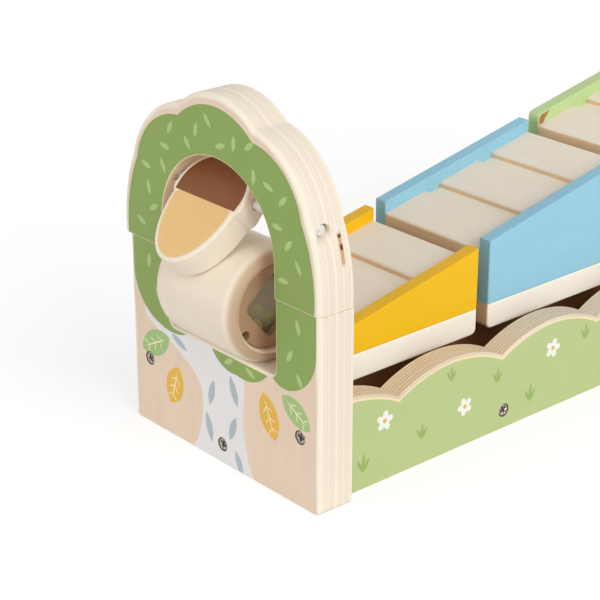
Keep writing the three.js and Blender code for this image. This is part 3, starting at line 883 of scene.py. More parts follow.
def ply_edge(name, axis, start, layer, tones, along, bands=0.2, glue=0.35, knot=None):
    """Edge of a board of thin plies: bands of light and dark layers, glue lines, and one knot if asked."""
    light, dark, line = [srgb(tone) for tone in tones]
    shader = Shader(name)
    wobble = shader.noise(PLY_WOBBLE, detail=2)
    depth = shader.math("SUBTRACT", shader.axis(axis), start * MM)
    layers = shader.math("DIVIDE", depth, layer * MM)
    layers = shader.math("ADD", layers, shader.span(wobble, 0.2, 0.8, -0.12, 0.12))
    number = shader.math("FLOOR", layers)
    lot = shader.node("TexWhiteNoise", noise_dimensions="1D", W=number)
    streaks = shader.grain(along, PLY_GRAIN, detail=4, roughness=0.65)
    tone = shader.math("MULTIPLY", shader.math("PINGPONG", number, 1), bands)
    tone = shader.math("ADD", tone, shader.math("MULTIPLY", lot.outputs[0], 0.2))
    tone = shader.math("ADD", tone, shader.span(streaks, 0.3, 0.75, 0, 0.25))
    colour = shader.mix(tone, light, dark)
    to_line = shader.math("PINGPONG", layers, 0.5)
    fading = shader.noise(GLUE_FADING, detail=2)
    faded = shader.span(fading, 0.3, 0.6, 0.3 * glue, glue)
    lines = shader.math("MULTIPLY", shader.span(to_line, 0.02, 0.1, 1, 0), faded)
    colour = shader.mix(lines, colour, line)
    if knot is not None:
        colour = with_knot(shader, colour, knot, streaks)
    shader.bump(shader.math("SUBTRACT", streaks, lines), 0.06)
    return shader.satin(colour, streaks, 0.5, 0.66, Specular_IOR_Level=MATT)


def with_knot(shader, colour, centre, streaks):
    """A ply edge's colour with a ragged tan knot and its brown spots."""
    spot = {"Location": centre * MM, "Scale": Vector(KNOT_HALF) * MM}
    shifted = shader.node("Mapping", shader.place, vector_type="TEXTURE", **spot).outputs[0]
    sides = [shader.math("ABSOLUTE", shader.axis(i, shifted)) for i in (0, 2)]
    reach = shader.math("MAXIMUM", *sides)
    reach = shader.math("ADD", reach, shader.span(streaks, 0.2, 0.8, -0.2, 0.2))
    inside = shader.span(reach, 0.8, 1.05, 1, 0)
    spots = shader.span(shader.noise(KNOT_SPOTS, detail=2), 0.52, 0.66)
    colour = shader.mix(shader.math("MULTIPLY", inside, 0.85), colour, srgb(KNOT_TAN))
    return shader.mix(shader.math("MULTIPLY", inside, spots), colour, srgb(KNOT_BROWN))


def brushed_steel(name, light, dark, metal):
    """Zinc-bright steel with fine scratches and duller patches."""
    shader = Shader(name)
    patches = shader.noise(STEEL_PATCHES, detail=4, roughness=0.6)
    colour = shader.mix(shader.span(patches, *MIDDLE), srgb(light), srgb(dark))
    scratches = shader.noise(STEEL_SCRATCHES, detail=2, roughness=0.6)
    shader.bump(scratches, 0.02, strength=0.5)
    return shader.satin(colour, patches, 0.24, 0.42, Metallic=metal)


def clear_pane():
    """Clear plastic with a glossy coat and a faint lit haze whose colour is a painted reflection of the
    room.
    """
    shader = Shader("clear_pane")
    haze = shader.span(shader.noise(HAZE_PATCHES), *MIDDLE)
    colour = shader.mix(haze, *[srgb(tone) for tone in PANE_REFLECTION_HAZE])
    rough = shader.span(haze, 0, 1, 0.04, 0.1)
    return shader.set(Base_Color=colour, Roughness=rough, Alpha=0.28, IOR=1.49, Coat_Weight=0.6)


veneer = wood("birch_veneer", (238, 216, 194), (228, 202, 176), 2, streak=1.1, flecks=0.05)
hill_veneer = wood("birch_veneer_long", (248, 230, 198), (240, 216, 178), 0, streak=1.1, flecks=0.05)
knot_place = X * tree_front + Vector(KNOT_PLACE)
tree_ply = ply_edge("tree_ply", 0, tree_front, board_layer, EDGE_TONES, 2, knot=knot_place)
opening_shade_ply = ply_edge("opening_shade_ply", 0, tree_front, board_layer, OPENING_SHADE_TONES, 1, glue=0.4)
rear_ply = ply_edge("rear_ply", 0, tree_front, board_layer, EDGE_TONES, 2)
hill_ply = ply_edge("hill_ply", 1, hill_low.y, hill_layer, HILL_TONES, 0, bands=0.6, glue=0.4)
# Dark brown in the pockets round the screw heads: painted shade
pocket_shade_wood = wood("screw_pocket_shade_wood", (150, 118, 86), (112, 84, 58), 2)
crown_paint = painted("crown_green", (139, 164, 87), 2, variation=0.02)
stroke_paint = painted("crown_dash_green", (172, 198, 126), 2)
trunk_paint = painted("trunk_white", (234, 230, 230), 2, variation=0.02)
bark_paint = painted("bark_grey_blue", (176, 188, 192), 2)
leaf_paints = {
    "yellow": painted("leaf_yellow", (232, 182, 68), 2),
    "green": painted("leaf_green", (164, 194, 126), 2),
}
vein_paint = painted("leaf_vein_cream", (246, 230, 190), 2, variation=0.02)
hill_paint = painted("hill_green", (188, 203, 140), 0, variation=0.01, relief=0.01)
grass_paint = painted("hill_grass_green", (154, 180, 100), 0)
petal_paint = painted("petal_white", (246, 243, 236), 0, variation=0.015)
heart_paint = painted("flower_heart_yellow", (226, 190, 90), 0)
acorn_wood = wood("acorn_wood", (244, 233, 216), (233, 217, 194), 2, streak=0.7)
cap_paint = painted("acorn_cap_brown", (131, 80, 44), 2, roughness=0.5, variation=0.05)
nut_paint = painted("acorn_nut_tan", (234, 193, 132), 2, roughness=0.5)
turned = {"roughness": 0.46, "streak": 0.7}
roller_wood = wood("roller_wood", (242, 230, 211), (232, 217, 195), 1, ends=ROLLER_END_DARKENING, **turned)
# Lighter wood for a painted highlight along the edge of the barrel's recess
rim_highlight_wood = wood("roller_rim_highlight_wood", (248, 232, 208), (238, 216, 186), 1, **turned)
# The discs' brown is partly their own darker wood and partly painted shade of their recess
disc_wood_and_shade = wood("roller_disc_wood_and_shade", (182, 149, 117), (165, 133, 101), 0, roughness=0.48, streak=0.8)
tread_wood = wood("tread_wood", (243, 233, 215), (236, 223, 203), 1, roughness=0.55)
# Darker wood: painted shade on the treads' risers, and the real end grain of the bases' ends
riser_shade_and_end_grain_wood = wood("riser_shade_and_end_grain_wood", (236, 207, 170), (222, 190, 150), 1, roughness=0.55)
base_wood = wood("ramp_base_wood", (253, 247, 237), (248, 239, 224), 0, roughness=0.52, streak=0.8)
# Dark brown for the base board and rail: painted shade of the closed space under the ramps
inner_shade_wood = wood("inner_board_shade_wood", (150, 106, 66), (122, 82, 48), 0, roughness=0.6)
peg_wood = wood("peg_wood", (240, 222, 192), (222, 196, 158), 2, roughness=0.55, streak=0.6, flecks=0.3)
torn = {"roughness": 0.7, "streak": 0.5, "flecks": 0.5, "contrast": 1, "relief": 0.2}
chipped_wood = wood("chipped_wood", (196, 140, 96), (164, 108, 68), 2, **torn)
bead_paint = painted("bead_green", (200, 240, 124), 0, roughness=0.35)
wall_paints = {}
wall_shade_paints = {}
for ramp, ramp_colour in RAMP_COLOURS.items():
    wall_paints[ramp] = painted("ramp_" + ramp, ramp_colour, 0, roughness=0.4, variation=0.02)
    # A darker copy of each wall's paint: painted shade on the walls' tops and low ends
    wall_shade_paints[ramp] = painted(f"ramp_{ramp}_edge", ramp_colour, 0, tint=WALL_TOP_AND_END_SHADE)
# The rod's steel is lighter and less metallic than the screws': painted reflection of the bright room
rod_steel_painted_bright = brushed_steel("rod_steel_painted_bright", (240, 239, 236), (216, 214, 210), 0.4)
screw_steel = brushed_steel("screw_steel", (196, 190, 182), (138, 132, 124), 1.0)
# Dark steel for the cross in each screw head: painted shade in the recess
screw_recess_shade = brushed_steel("screw_recess_shade", (74, 68, 64), (44, 40, 38), 0.4)
pane = clear_pane()
tree_skins = (veneer, tree_ply, veneer, pocket_shade_wood)
rear_skins = (veneer, rear_ply, veneer, pocket_shade_wood)
hill_skins = (hill_veneer, hill_ply, hill_veneer, pocket_shade_wood)


def add(made, body, slot, *nodes):
    """Puts a piece on a body in place of nodes."""
    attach(made, body)
    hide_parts(*nodes)


def node_board(name, node, path, inward, skins, regions=(), pockets=(), back_share=1, shift=0):
    """Board as thick as its node, with its front on the node's outer side."""
    low, high = box(node)
    across = Y if inward.x else X
    outer = min(low.dot(inward), high.dot(inward))
    thick = abs((high - low).dot(inward))
    place = plane(across, Z, inward, inward * outer + across * shift)
    return board(name, [path], thick, place, skins, regions, pockets, back_share)


# Tree end
def screw_pockets(word, across):
    """Pockets of the screws whose names hold a word, in a drawing's own axes."""
    pockets = []
    for name in frame["nodes"]:
        if "screw" in name and word in name:
            low, high = box(name)
            middle = (low + high) / 2
            pockets.append(circle((middle.dot(across), middle.z), POCKET_RADIUS)[::-1])
    return pockets


def arch_strokes(centre):
    """Small leaf strokes round the opening, by turns near it and near the rim, each with its own lean."""
    regions = []
    for i in range(ARCH_STROKES):
        angle = ARCH_STROKE_STEP * (i - 0.5)
        spot = polar(centre, ARCH_STROKE_RADII[i % len(ARCH_STROKE_RADII)], angle)
        angle += ARCH_STROKE_LEANS[i % len(ARCH_STROKE_LEANS)]
        regions.append((stroke_paint, leaf(spot, STROKE_LENGTH, ARCH_STROKE_WIDTH, angle, STROKE_STEPS)))
    return regions


def veined_leaf(colour, centre, length, width, angle):
    """Leaf with a middle vein and pairs of side veins."""
    regions = [(leaf_paints[colour], leaf(centre, length, width, angle, LEAF_STEPS))]
    regions.append((vein_paint, leaf(centre, length * VEIN_REACH, VEIN_WIDTH, angle, VEIN_STEPS)))
    reach = width * SIDE_VEIN_REACH
    for along in SIDE_VEINS:
        start = polar(centre, length * along, angle)
        for lean in (angle - SIDE_VEIN_LEAN, angle + SIDE_VEIN_LEAN):
            middle = polar(start, width * SIDE_VEIN_OUT, lean)
            regions.append((vein_paint, leaf(middle, reach, SIDE_VEIN_WIDTH, lean, VEIN_STEPS)))
    return regions


def crown_lobes(top):
    """The crown's lower lobes on the tree panel, as far as the joint."""
    far = Path().to(22, 57).to(22, 53).bulge(42, 51.3, 2).bulge(60, 72, 4.5).to(60, top).to(22, top)
    near = Path().to(-60, top).to(-60, 73).bulge(-44, 50.6, 5).bulge(-33, 53, 1.4).to(-33, top)
    middle = Path().to(-31, 57).to(-31, 53.4).bulge(-10, 45.4, 3.4).bulge(7, 53.4, 3).to(7, 57)
    return [lobe.points for lobe in (far, near, middle)]


def panel_paint(split):
    """Trunk, leaves and the crown's lower lobes on the front of the tree panel."""
    regions = [(trunk_paint, smooth(TRUNK))]
    for across, up, length, width, angle in BARK_MARKS:
        regions.append((bark_paint, leaf((across, up), length, width, angle)))
    for row in PANEL_LEAVES:
        regions += veined_leaf(*row)
    regions += [(crown_paint, lobe) for lobe in crown_lobes(split - PAINT_TO_SEAM)]
    for across, up, angle in PANEL_STROKES:
        stroke = leaf((across, up), STROKE_LENGTH, PANEL_STROKE_WIDTH, angle, STROKE_STEPS)
        regions.append((stroke_paint, stroke))
    return regions


def tree_panel():
    high = box("tree_panel")[1]
    half = high.y
    foot = half - FOOT_ROUND
    top = high.z + SEAM_SPARE
    corner = WINDOW_HALF - WINDOW_CORNER
    corner_z = LEDGE_Z + WINDOW_CORNER
    path = Path().sweep((foot, FOOT_ROUND), FOOT_ROUND, -90, 0).taper(FOOT_EDGE, BOARD_ROUND)
    path.rounded(BOARD_ROUND).to(half, top).rounded(RIM_ROUND).to(WINDOW_HALF, top)
    path.sweep((corner, corner_z), WINDOW_CORNER, 0, -90).taper(RIM_ROUND, LEDGE_ROUND)
    path.sweep((-corner, corner_z), WINDOW_CORNER, -90, -180).taper(LEDGE_ROUND, RIM_ROUND)
    path.to(-WINDOW_HALF, top).rounded(BOARD_ROUND).to(-half, top)
    path.sweep((-foot, FOOT_ROUND), FOOT_ROUND, 180, 270).taper(BOARD_ROUND, FOOT_EDGE)
    paint = panel_paint(high.z)
    pockets = screw_pockets("tree_", Y)
    made = node_board("tree_panel_board", "tree_panel", path, X, tree_skins, paint, pockets, BACK_SHARE)
    trim(made, high.z, True)
    add(made, "frame", "plywood", "tree_panel")


def arch_outline(path, foot, start, inset=0, bulges=ARCH_BULGES):
    """Lobes of the tree arch above its joint, drawn from the far foot to the near one."""
    half = ARCH_HALF - inset
    middle = Vector((0, foot))
    shoulder = middle + Vector(SHOULDER_NOTCH) - Vector(SHOULDER_INSET) * inset
    crown = middle + Vector(CROWN_NOTCH) - Vector(CROWN_INSET) * inset
    side, wide, top = bulges
    path.to(half, start).to(half, foot).bulge(*shoulder, side).bulge(*crown, wide)
    path.bulge(-crown.x, crown.y, top).bulge(-shoulder.x, shoulder.y, wide).bulge(-half, foot, side)
    return path.to(-half, start)


def tree_arch():
    split = box("tree_panel")[1].z
    foot = split + SEAM_GAP
    start = split - SEAM_SPARE
    spring = split + ARCH_SPRING_RISE
    inner = ARCH_OPENING_RADIUS
    path = arch_outline(Path(BOARD_ROUND), split, start).rounded(RIM_ROUND)
    path.to(-inner, start).sweep((0, spring), inner, 180, 0, 2 * ARC_STEPS).to(inner, start)
    crown = arch_outline(Path(), split, foot + PAINT_TO_SEAM, PAINT_INSET, PAINT_BULGES)
    regions = [(crown_paint, crown.points)] + arch_strokes((0, spring))
    settings = {"back_share": BACK_SHARE, "shift": ARCH_SHIFT}
    made = node_board("tree_arch_board", "tree_arch", path, X, tree_skins, regions, **settings)
    trim(made, foot, False)

    def in_opening(face):
        across = face.center.y / MM - ARCH_SHIFT
        above = max(0, face.center.z / MM - spring)
        return abs(face.normal.x) < FRONT_FACING and hypot(across, above) < inner + RIM_ROUND

    # Painted shade: the opening's inner wall takes the warmer, darker ply tones
    recolour(made, opening_shade_ply, in_opening)
    mouth = rod_low.y + ROD_MOUTH_DEPTH
    flare = rod_low.y - FLARE_REACH
    out = flare - PANEL_SPARE
    end = rod_high.y + LEAN_GAP
    profile = [
        (0, out), (ROD_MOUTH_RADIUS + PANEL_SPARE, out), (ROD_MOUTH_RADIUS, flare),
        (ROD_MOUTH_RADIUS, mouth), (ROD_HOLE_RADIUS, mouth), (ROD_HOLE_RADIUS, end), (0, end),
    ]
    drill(made, lathe("rod_drill", profile, along_rod, tree_ply, PIN_SIDES))
    add(made, "frame", "green_paint", "tree_arch")


def acorn_rod():
    near = rod_low.y - ROD_REACH
    far = rod_high.y
    chamfered = ROD_RADIUS - ROD_CHAMFER
    profile = [
        (0, near), (chamfered, near), (ROD_RADIUS, near + ROD_CHAMFER),
        (ROD_RADIUS, far - ROD_CHAMFER), (chamfered, far), (0, far),
    ]
    made = lathe("acorn_rod_turned", profile, along_rod, rod_steel_painted_bright, PIN_SIDES)
    add(made, "frame", "steel", "acorn_rod")


# Acorn flap
def acorn_tilt():
    """Angle at which the flap leans on the parked roller."""
    reach = hypot(axle.x - rod.x, rod.z - axle.z)
    hang = atan2(axle.x - rod.x, rod.z - axle.z)
    stand_off = roller_radius + ACORN_THICK / 2 + LEAN_GAP
    return asin(stand_off / reach) - hang


def acorn_paint():
    """Paint of the nut and the cap, inside a bare rim."""
    wide = NUT_HALF - ACORN_RIM
    long = NUT_LENGTH - NECK_DROP - ACORN_RIM
    corner = wide - NUT_PAINT_CORNER
    nut = Path().sweep((0, -NECK_DROP), (wide, long), *NUT_PAINT_SWEEP, ARC_STEPS)
    nut.bulge(corner, -CAP_PAINT_LOW, NUT_PAINT_BULGE, CORNER_STEPS).to(-corner, -CAP_PAINT_LOW)
    nut.bulge(*nut.points[0], NUT_PAINT_BULGE, CORNER_STEPS)
    wide = CAP_HALF - ACORN_RIM
    corner = wide - CAP_PAINT_CORNER
    cap = Path().to(-corner, -CAP_PAINT_LOW).to(corner, -CAP_PAINT_LOW)
    cap.sweep((0, -CAP_WIDEST), (wide, CAP_RISE + CAP_WIDEST - ACORN_RIM), 0, 180, ARC_STEPS)
    return [(nut_paint, nut.close().points), (cap_paint, cap.points)]


def acorn_flap():
    path = Path(ACORN_ROUND)
    path.sweep((0, -NECK_DROP), (NUT_HALF, NUT_LENGTH - NECK_DROP), -180, 0, 2 * ARC_STEPS)
    path.bulge(CAP_HALF, -CAP_WIDEST, CAP_LIP, CORNER_STEPS)
    path.sweep((0, -CAP_WIDEST), (CAP_HALF, CAP_RISE + CAP_WIDEST), 0, 180, 2 * ARC_STEPS)
    path.bulge(-NUT_HALF, -NECK_DROP, CAP_LIP, CORNER_STEPS).close()
    lean = Matrix.Translation(rod * MM) @ Matrix.Rotation(acorn_tilt(), 4, "Y")
    place = lean @ plane(Y, Z, X, X * (-ACORN_THICK / 2))
    made = board("acorn_plate", [path], ACORN_THICK, place, acorn_wood, acorn_paint())
    reach = 2 * CAP_HALF
    profile = [(0, -reach), (ACORN_HOLE_RADIUS, -reach), (ACORN_HOLE_RADIUS, reach), (0, reach)]
    drill(made, lathe("acorn_drill", profile, plane(Z, X, Y, rod), acorn_wood, PIN_SIDES))
    add(made, "acorn", "acorn_wood", "acorn_flap")


# Roller
def barrel():
    """Turned barrel: its ends round over to a ring, then dip to the edge of the recess."""
    across, along = ROLLER_END_ROUND
    ring = roller_radius - across
    mouth = roller_end - MOUTH_SET_IN
    half = Path().sweep((ring, roller_end - along), (across, along), 0, 90, 2 * CORNER_STEPS)
    half.sweep((ring, mouth), (ring - MOUTH_RADIUS, MOUTH_SET_IN), *MOUTH_SWEEP)
    top_end_shade = half.points[-1]
    half.to(top_end_shade.x - MOUTH_CHAMFER, top_end_shade.y - MOUTH_CHAMFER).to(bore, roller_end - DISC_RECESS)
    half.to(bore, cavity_end).to(bore - PANE_SHOULDER, cavity_end)
    upper = [tuple(point) for point in half.points]
    lower = [(radius, -place) for radius, place in reversed(upper)]
    made = lathe("roller_barrel_turned", lower + upper, along_axle, roller_wood)

    # Painted highlight: the faces along the recess's edge take the lighter wood
    def mouth_highlight(face):
        spot = face.center / MM - axle
        far = hypot(spot.x, spot.z)
        return abs(far - top_end_shade.x) < MOUTH_HIGHLIGHT and abs(spot.y) > roller_end - DISC_RECESS

    recolour(made, rim_highlight_wood, mouth_highlight)
    add(made, "roller", "roller_wood", "roller_barrel")


def disc_path(radius):
    """Disc with a round notch in its rim."""
    notch_at = bore - RIM_NOTCH_INSET
    share = (radius ** 2 + notch_at ** 2 - RIM_NOTCH_RADIUS ** 2) / (2 * radius * notch_at)
    half = degrees(acos(share))
    centre = polar((0, 0), notch_at, RIM_NOTCH_ANGLE)
    first = RIM_NOTCH_ANGLE + half
    path = Path(DISC_ROUND).sweep((0, 0), radius, first, first + 360 - 2 * half, LATHE_SIDES)
    start = bearing(centre, path.points[-1]) % 360
    end = bearing(centre, path.points[0]) % 360
    if end > start:
        end -= 360
    return path.sweep(centre, RIM_NOTCH_RADIUS, start, end, 2 * CORNER_STEPS).close()


def diamond_path():
    """Window in a disc, a square on its corner; a hole is drawn clockwise."""
    path = Path(DISC_ROUND)
    inset = DIAMOND_HALF - DIAMOND_ROUND * sqrt(2)
    for angle in range(DIAMOND_TURN, DIAMOND_TURN + 360, 90):
        path.sweep(polar((0, 0), inset, angle), DIAMOND_ROUND, angle - 45, angle + 45)
    path.close()
    path.points.reverse()
    return path


def roller_end_pieces(side, across, inward):
    """End disc and clear pane of one end."""
    place = plane(across, Z, inward, axle - inward * (roller_end - DISC_RECESS))
    paths = [disc_path(bore - DISC_GAP), diamond_path()]
    disc = board("roller_disc_cut_" + side, paths, DISC_THICK, place, disc_wood_and_shade)
    add(disc, "roller", "roller_wood", "roller_disc_" + side)
    radius = bore - LEAN_GAP
    near = DISC_THICK + LEAN_GAP
    profile = [(0, near), (radius, near), (radius, near + PANE_THICK), (0, near + PANE_THICK)]
    window = lathe("roller_window_" + side, profile, place, pane)
    add(window, "roller", "clear_pane", "roller_pane_" + side)


def beads():
    """Loose beads on the bottom of the cavity, one for each solid."""
    nodes = [name for name in frame["nodes"] if name.startswith("bead_")]
    work = bmesh.new()
    for name in nodes:
        low, high = box(name)
        place = Matrix.Translation((low + high) / 2 * MM)
        bmesh.ops.create_icosphere(
            work, subdivisions=BEAD_SUBDIVISIONS, radius=BEAD_RADIUS * MM, matrix=place,
        )
    mesh = bpy.data.meshes.new("bead_heap")
    work.to_mesh(mesh)
    work.free()
    mesh.materials.append(bead_paint)
    add(finished(new_object("bead_heap", mesh)), "rattle", "bead_green", *nodes)


# Hills
def hill_top(path, half, inset=0):
    """Scalloped top edge, drawn from the high end to the tree end, with half a scallop at each end."""
    pitch = 2 * half / SCALLOPS
    radius = pitch ** 2 / (8 * SCALLOP_BULGE) + SCALLOP_BULGE / 2
    middle_z = HILL_NOTCH_Z + SCALLOP_BULGE - radius
    reach = degrees(asin(pitch / 2 / (radius - inset)))
    for i in range(SCALLOPS, -1, -1):
        first = 0 if i == SCALLOPS and not inset else -reach
        last = 0 if i == 0 and not inset else reach
        path.sweep((i * pitch - half, middle_z), radius - inset, 90 + first, 90 + last, ARC_STEPS)
    return path


def daisy(across, up, size, turn):
    """Small flower of petals round a heart."""
    regions = []
    for i in range(PETALS):
        angle = turn + 360 / PETALS * i
        spot = polar((across, up), size * PETAL_OUT, angle)
        regions.append((petal_paint, oval(spot, size * PETAL_LENGTH, size * PETAL_WIDTH, angle)))
    regions.append((heart_paint, circle((across, up), size * HEART_RADIUS, HEART_SIDES)))
    return regions


def grass(across, up, size):
    """Tuft of blades from one root."""
    regions = []
    for lean, share in BLADES:
        tip = polar((across, up), size * share, 90 - lean)
        regions.append((grass_paint, blade((across, up), tip, size * BLADE_WIDTH, BLADE_STEPS)))
    return regions


def meadow(half):
    """Paint of a hill's face with its flowers and grass."""
    wide = half + HILL_PAINT_SPARE
    ground = Path().to(-wide, -HILL_PAINT_SPARE).to(wide, -HILL_PAINT_SPARE)
    regions = [(hill_paint, hill_top(ground, half, HILL_PAINT_INSET).points)]
    for row in DAISIES:
        regions += daisy(*row)
    for row in TUFTS:
        regions += grass(*row)
    return regions


def hill_panel(side, inward):
    node = "hill_panel_" + side
    half = box(node)[1].x
    path = hill_top(Path(FOOT_EDGE).to(-half, 0).to(half, 0).rounded(HILL_ROUND), half).close()
    pockets = screw_pockets("hill_screw_" + side, X)
    made = node_board("hill_board_" + side, node, path, inward, hill_skins, meadow(half), pockets)
    add(made, "frame", "plywood", node)


def rear_panel():
    half = box("rear_panel")[1].y
    crown = REAR_SIDE_Z + REAR_CROWN_RISE
    path = Path(BOARD_ROUND).to(-half, 0).to(half, 0).to(half, REAR_SIDE_Z)
    path.bulge(REAR_CROWN_HALF, crown, REAR_SIDE_BULGE)
    path.bulge(-REAR_CROWN_HALF, crown, REAR_CROWN_BULGE)
    path.bulge(-half, REAR_SIDE_Z, REAR_SIDE_BULGE)
    pockets = screw_pockets("rear_", Y)
    made = node_board("rear_panel_board", "rear_panel", path, -X, rear_skins, (), pockets)
    add(made, "frame", "plywood", "rear_panel")


# Ramp blocks
def ramp_wall(name, side):
    node = f"{name}_wall_{side}"
    low, high = box(node)
    slope = tan(radians(RAMP_TILT))
    corner = Vector((low.x, high.z - slope * (high.x - low.x)))
    path = Path(WALL_ROUND).to(low.x, low.z).to(high.x, low.z).to(high.x, high.z)
    chips = []
    if node == CHIPPED_WALL:
        path.to(corner.x + WORN_CORNER, corner.y + WORN_CORNER * slope)
        path.bulge(corner.x, corner.y - WORN_CORNER, QUARTER_RISE * WORN_CORNER, CORNER_STEPS)
        chips.append((chipped_wood, [corner + Vector(point) for point in CHIP]))
    else:
        path.to(*corner)
    made = node_board(f"{name}_side_{side}", node, path, Y, wall_paints[name], chips)

    # Painted shade: faces that look up or face the tree end take the darker paint
    def shaded_top_or_end(face):
        return face.normal.z > WALL_EDGE_FACING or face.normal.x < -WALL_EDGE_FACING

    recolour(made, wall_shade_paints[name], shaded_top_or_end)
    add(made, "frame", name + "_paint", node)


def ramp_bed(name):
    """Stepped bed of treads with rounded edges and grooves between them."""
    node = name + "_bed"
    low, high = box(node)
    slope = tan(radians(RAMP_TILT))
    tread = (high.x - low.x - (TREADS - 1) * GROOVE_WIDTH) / TREADS
    rise = QUARTER_RISE * TREAD_ROUND

    def top(x):
        return high.z - slope * (high.x - x)

    path = Path(BED_ROUND).to(low.x, low.z).to(high.x, low.z)
    for i in range(TREADS - 1, -1, -1):
        start = low.x + i * (tread + GROOVE_WIDTH)
        end = start + tread
        if i < TREADS - 1:
            path.to(end, top(end) - GROOVE_DEPTH)
        path.to(end, top(end) - TREAD_ROUND)
        path.bulge(end - TREAD_ROUND, top(end - TREAD_ROUND), rise, CORNER_STEPS)
        path.to(start + TREAD_ROUND, top(start + TREAD_ROUND))
        path.bulge(start, top(start) - TREAD_ROUND, rise, CORNER_STEPS)
        if i > 0:
            path.to(start, top(start) - GROOVE_DEPTH)
    made = node_board(name + "_treads", node, path, Y, tread_wood)
    # Painted shade: the risers that face down the slope take the darker wood
    recolour(made, riser_shade_and_end_grain_wood, lambda face: face.normal.x < -RISER_FACING)
    add(made, "frame", "pale_wood", node)


def ramp_base(name):
    node = name + "_base"
    low, high = box(node)
    low_z = low.z + BASE_END_ROUND
    path = Path(BASE_ROUND).to(high.x, high.z).to(low.x, high.z)
    path.sweep((low.x + BASE_END_ROUND, low_z), BASE_END_ROUND, 180, 270)
    path.sweep((high.x - BASE_END_ROUND, low_z), BASE_END_ROUND, 270, 360)
    made = node_board(name + "_foot", node, path, Y, base_wood)
    recolour(made, riser_shade_and_end_grain_wood, lambda face: abs(face.normal.x) > BASE_END_FACING)
    add(made, "frame", "pale_wood", node)


# Screws
def screw_mesh():
    """Countersunk screw along +Z with a cross in its head, whose face lies at 0."""
    in_from_rim, down = HEAD_CHAMFER
    profile = [(0, 0), (HEAD_RADIUS - in_from_rim, 0), (HEAD_RADIUS, down), (HEAD_RADIUS, HEAD_EDGE)]
    along = HEAD_DEPTH
    while along < SCREW_LENGTH - SCREW_TIP:
        profile += [(SHANK_RADIUS - THREAD_DEPTH, along), (SHANK_RADIUS, along + THREAD_PITCH / 2)]
        along += THREAD_PITCH
    profile.append((0, SCREW_LENGTH))
    made = lathe("screw_blank", profile, Matrix.Scale(MM, 4), screw_steel, PIN_SIDES)
    arm, half = CROSS_REACH, CROSS_HALF
    corners = [(arm, -half), (arm, half), (half, half), (half, arm), (-half, arm), (-half, half)]
    corners += [(-across, -up) for across, up in corners]
    mesh = Mesh()
    rings = []
    for depth, share in CROSS_RINGS:
        rings.append([mesh.point(across * share, up * share, depth) for across, up in corners])
    mesh.strips(rings, 0)
    for ring in rings:
        mesh.face(ring, 0)
    drill(made, finished(mesh.build("cross_cutter", Matrix.Scale(MM, 4), [screw_recess_shade])))
    screw = made.data
    bpy.data.objects.remove(made)
    return screw


def screws():
    """One screw for each screw node, its head sunk a little below the wood."""
    mesh = screw_mesh()
    names = sorted(name for name in frame["nodes"] if "screw" in name)
    for number, name in enumerate(names, 1):
        low, high = box(name)
        middle = (low + high) / 2
        axis = max((X, Y), key=lambda way: (high - low).dot(way))
        inward = axis if middle.dot(axis) < 0 else -axis
        head = middle - inward * ((high - low).dot(axis) / 2 - HEAD_SUNK)
        made = new_object(name.replace("screw", "cross_screw"), mesh)
        driven = inward.to_track_quat("Z", "Y").to_matrix().to_4x4()
        turned = Matrix.Rotation(radians(SCREW_TURN * number), 4, "Z")
        made.matrix_world = Matrix.Translation(head * MM) @ driven @ turned
        even_shading(made)
        add(made, "frame", "steel", name)


# Nodes that keep their solids
def carried_over():
    """Better materials and softened edges for the solids that stay."""
    # The base board and rail take the dark wood: painted shade under the ramps
    chosen = {"base_board": inner_shade_wood, "support_rail": inner_shade_wood}
    chosen.update({name: peg_wood for name in frame["nodes"] if "peg" in name or "dowel" in name})
    for name, material in chosen.items():
        node = frame["nodes"][name]
        node.data.materials.clear()
        node.data.materials.append(material)
        soft = node.modifiers.new("soft_edge", "BEVEL")
        soft.width = SOFT_EDGE * MM
        soft.segments = 2
        soft.limit_method = "ANGLE"


# Stage
def seen_rays(tree):
    """1 for the rays of the camera, of reflections and of clear pieces, otherwise 0."""
    path = new_node(tree, "LightPath")
    total = path.outputs["Is Camera Ray"]
    for name in ("Is Glossy Ray", "Is Transmission Ray"):
        total = new_node(tree, "Math", total, path.outputs[name], operation="MAXIMUM").outputs[0]
    return total


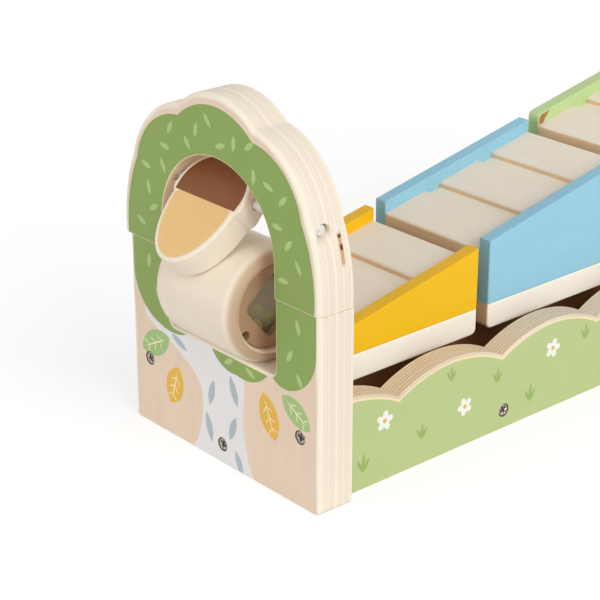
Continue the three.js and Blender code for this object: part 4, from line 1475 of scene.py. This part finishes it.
def floor():
    """Pale floor that keeps the object's shade and fades to the white of the background."""
    bpy.ops.mesh.primitive_plane_add(size=2 * FLOOR_HALF)
    made = bpy.context.object
    made.name = "floor"
    material = bpy.data.materials.new("floor_white")
    material.use_nodes = True
    tree = material.node_tree
    tree.nodes.clear()

    def matte(albedo):
        return new_node(tree, "BsdfDiffuse", (albedo, albedo, albedo, 1)).outputs[0]

    glow = new_node(tree, "Emission", WHITE, FLOOR_GLOW).outputs[0]
    seen = new_node(tree, "AddShader", matte(FLOOR_SEEN_ALBEDO), glow).outputs[0]
    mixed = new_node(tree, "MixShader", seen_rays(tree), matte(FLOOR_ALBEDO), seen).outputs[0]
    new_node(tree, "OutputMaterial", mixed)
    made.data.materials.append(material)


def sky():
    """White where it is seen, and a plain even light on everything else."""
    world = bpy.data.worlds.new("studio")
    bpy.context.scene.world = world
    world.use_nodes = True
    tree = world.node_tree
    background = tree.nodes["Background"]
    strength = new_node(tree, "MapRange", seen_rays(tree), 0, 1, SKY_SHARE, 1).outputs[0]
    feed(tree, background.inputs["Color"], WHITE)
    feed(tree, background.inputs["Strength"], strength)


def facing(azimuth, elevation):
    """Rotation of a camera or lamp that looks at the object from a direction in degrees."""
    a = radians(azimuth)
    e = radians(elevation)
    back = Vector((sin(a) * cos(e), -cos(a) * cos(e), sin(e)))
    return back.to_track_quat("Z", "Y").to_euler()


def lamps():
    for name, (azimuth, elevation, share) in LAMPS.items():
        lamp = bpy.data.lights.new(name, "SUN")
        lamp.energy = share * pi
        lamp.angle = radians(LAMP_ANGLE)
        new_object(name, lamp).rotation_euler = facing(azimuth, elevation)


def camera():
    lens = bpy.data.cameras.new("photo_camera")
    lens.sensor_width = SENSOR_WIDTH
    lens.lens = FOCAL_PIXELS / PICTURE_PIXELS * SENSOR_WIDTH
    made = new_object("photo_camera", lens)
    made.location = CAMERA_PLACE
    made.rotation_euler = facing(CAMERA_AZIMUTH, CAMERA_ELEVATION)
    bpy.context.scene.camera = made


camera()
lamps()
sky()
floor()
bpy.context.scene.view_settings.view_transform = "Standard"

tree_panel()
tree_arch()
acorn_rod()
acorn_flap()
barrel()
roller_end_pieces("near", X, Y)
roller_end_pieces("far", -X, -Y)
beads()
hill_panel("near", Y)
hill_panel("far", -Y)
rear_panel()
for ramp in RAMP_COLOURS:
    ramp_base(ramp)
    ramp_bed(ramp)
    ramp_wall(ramp, "near")
    ramp_wall(ramp, "far")
screws()
carried_over()

bpy.context.view_layer.update()
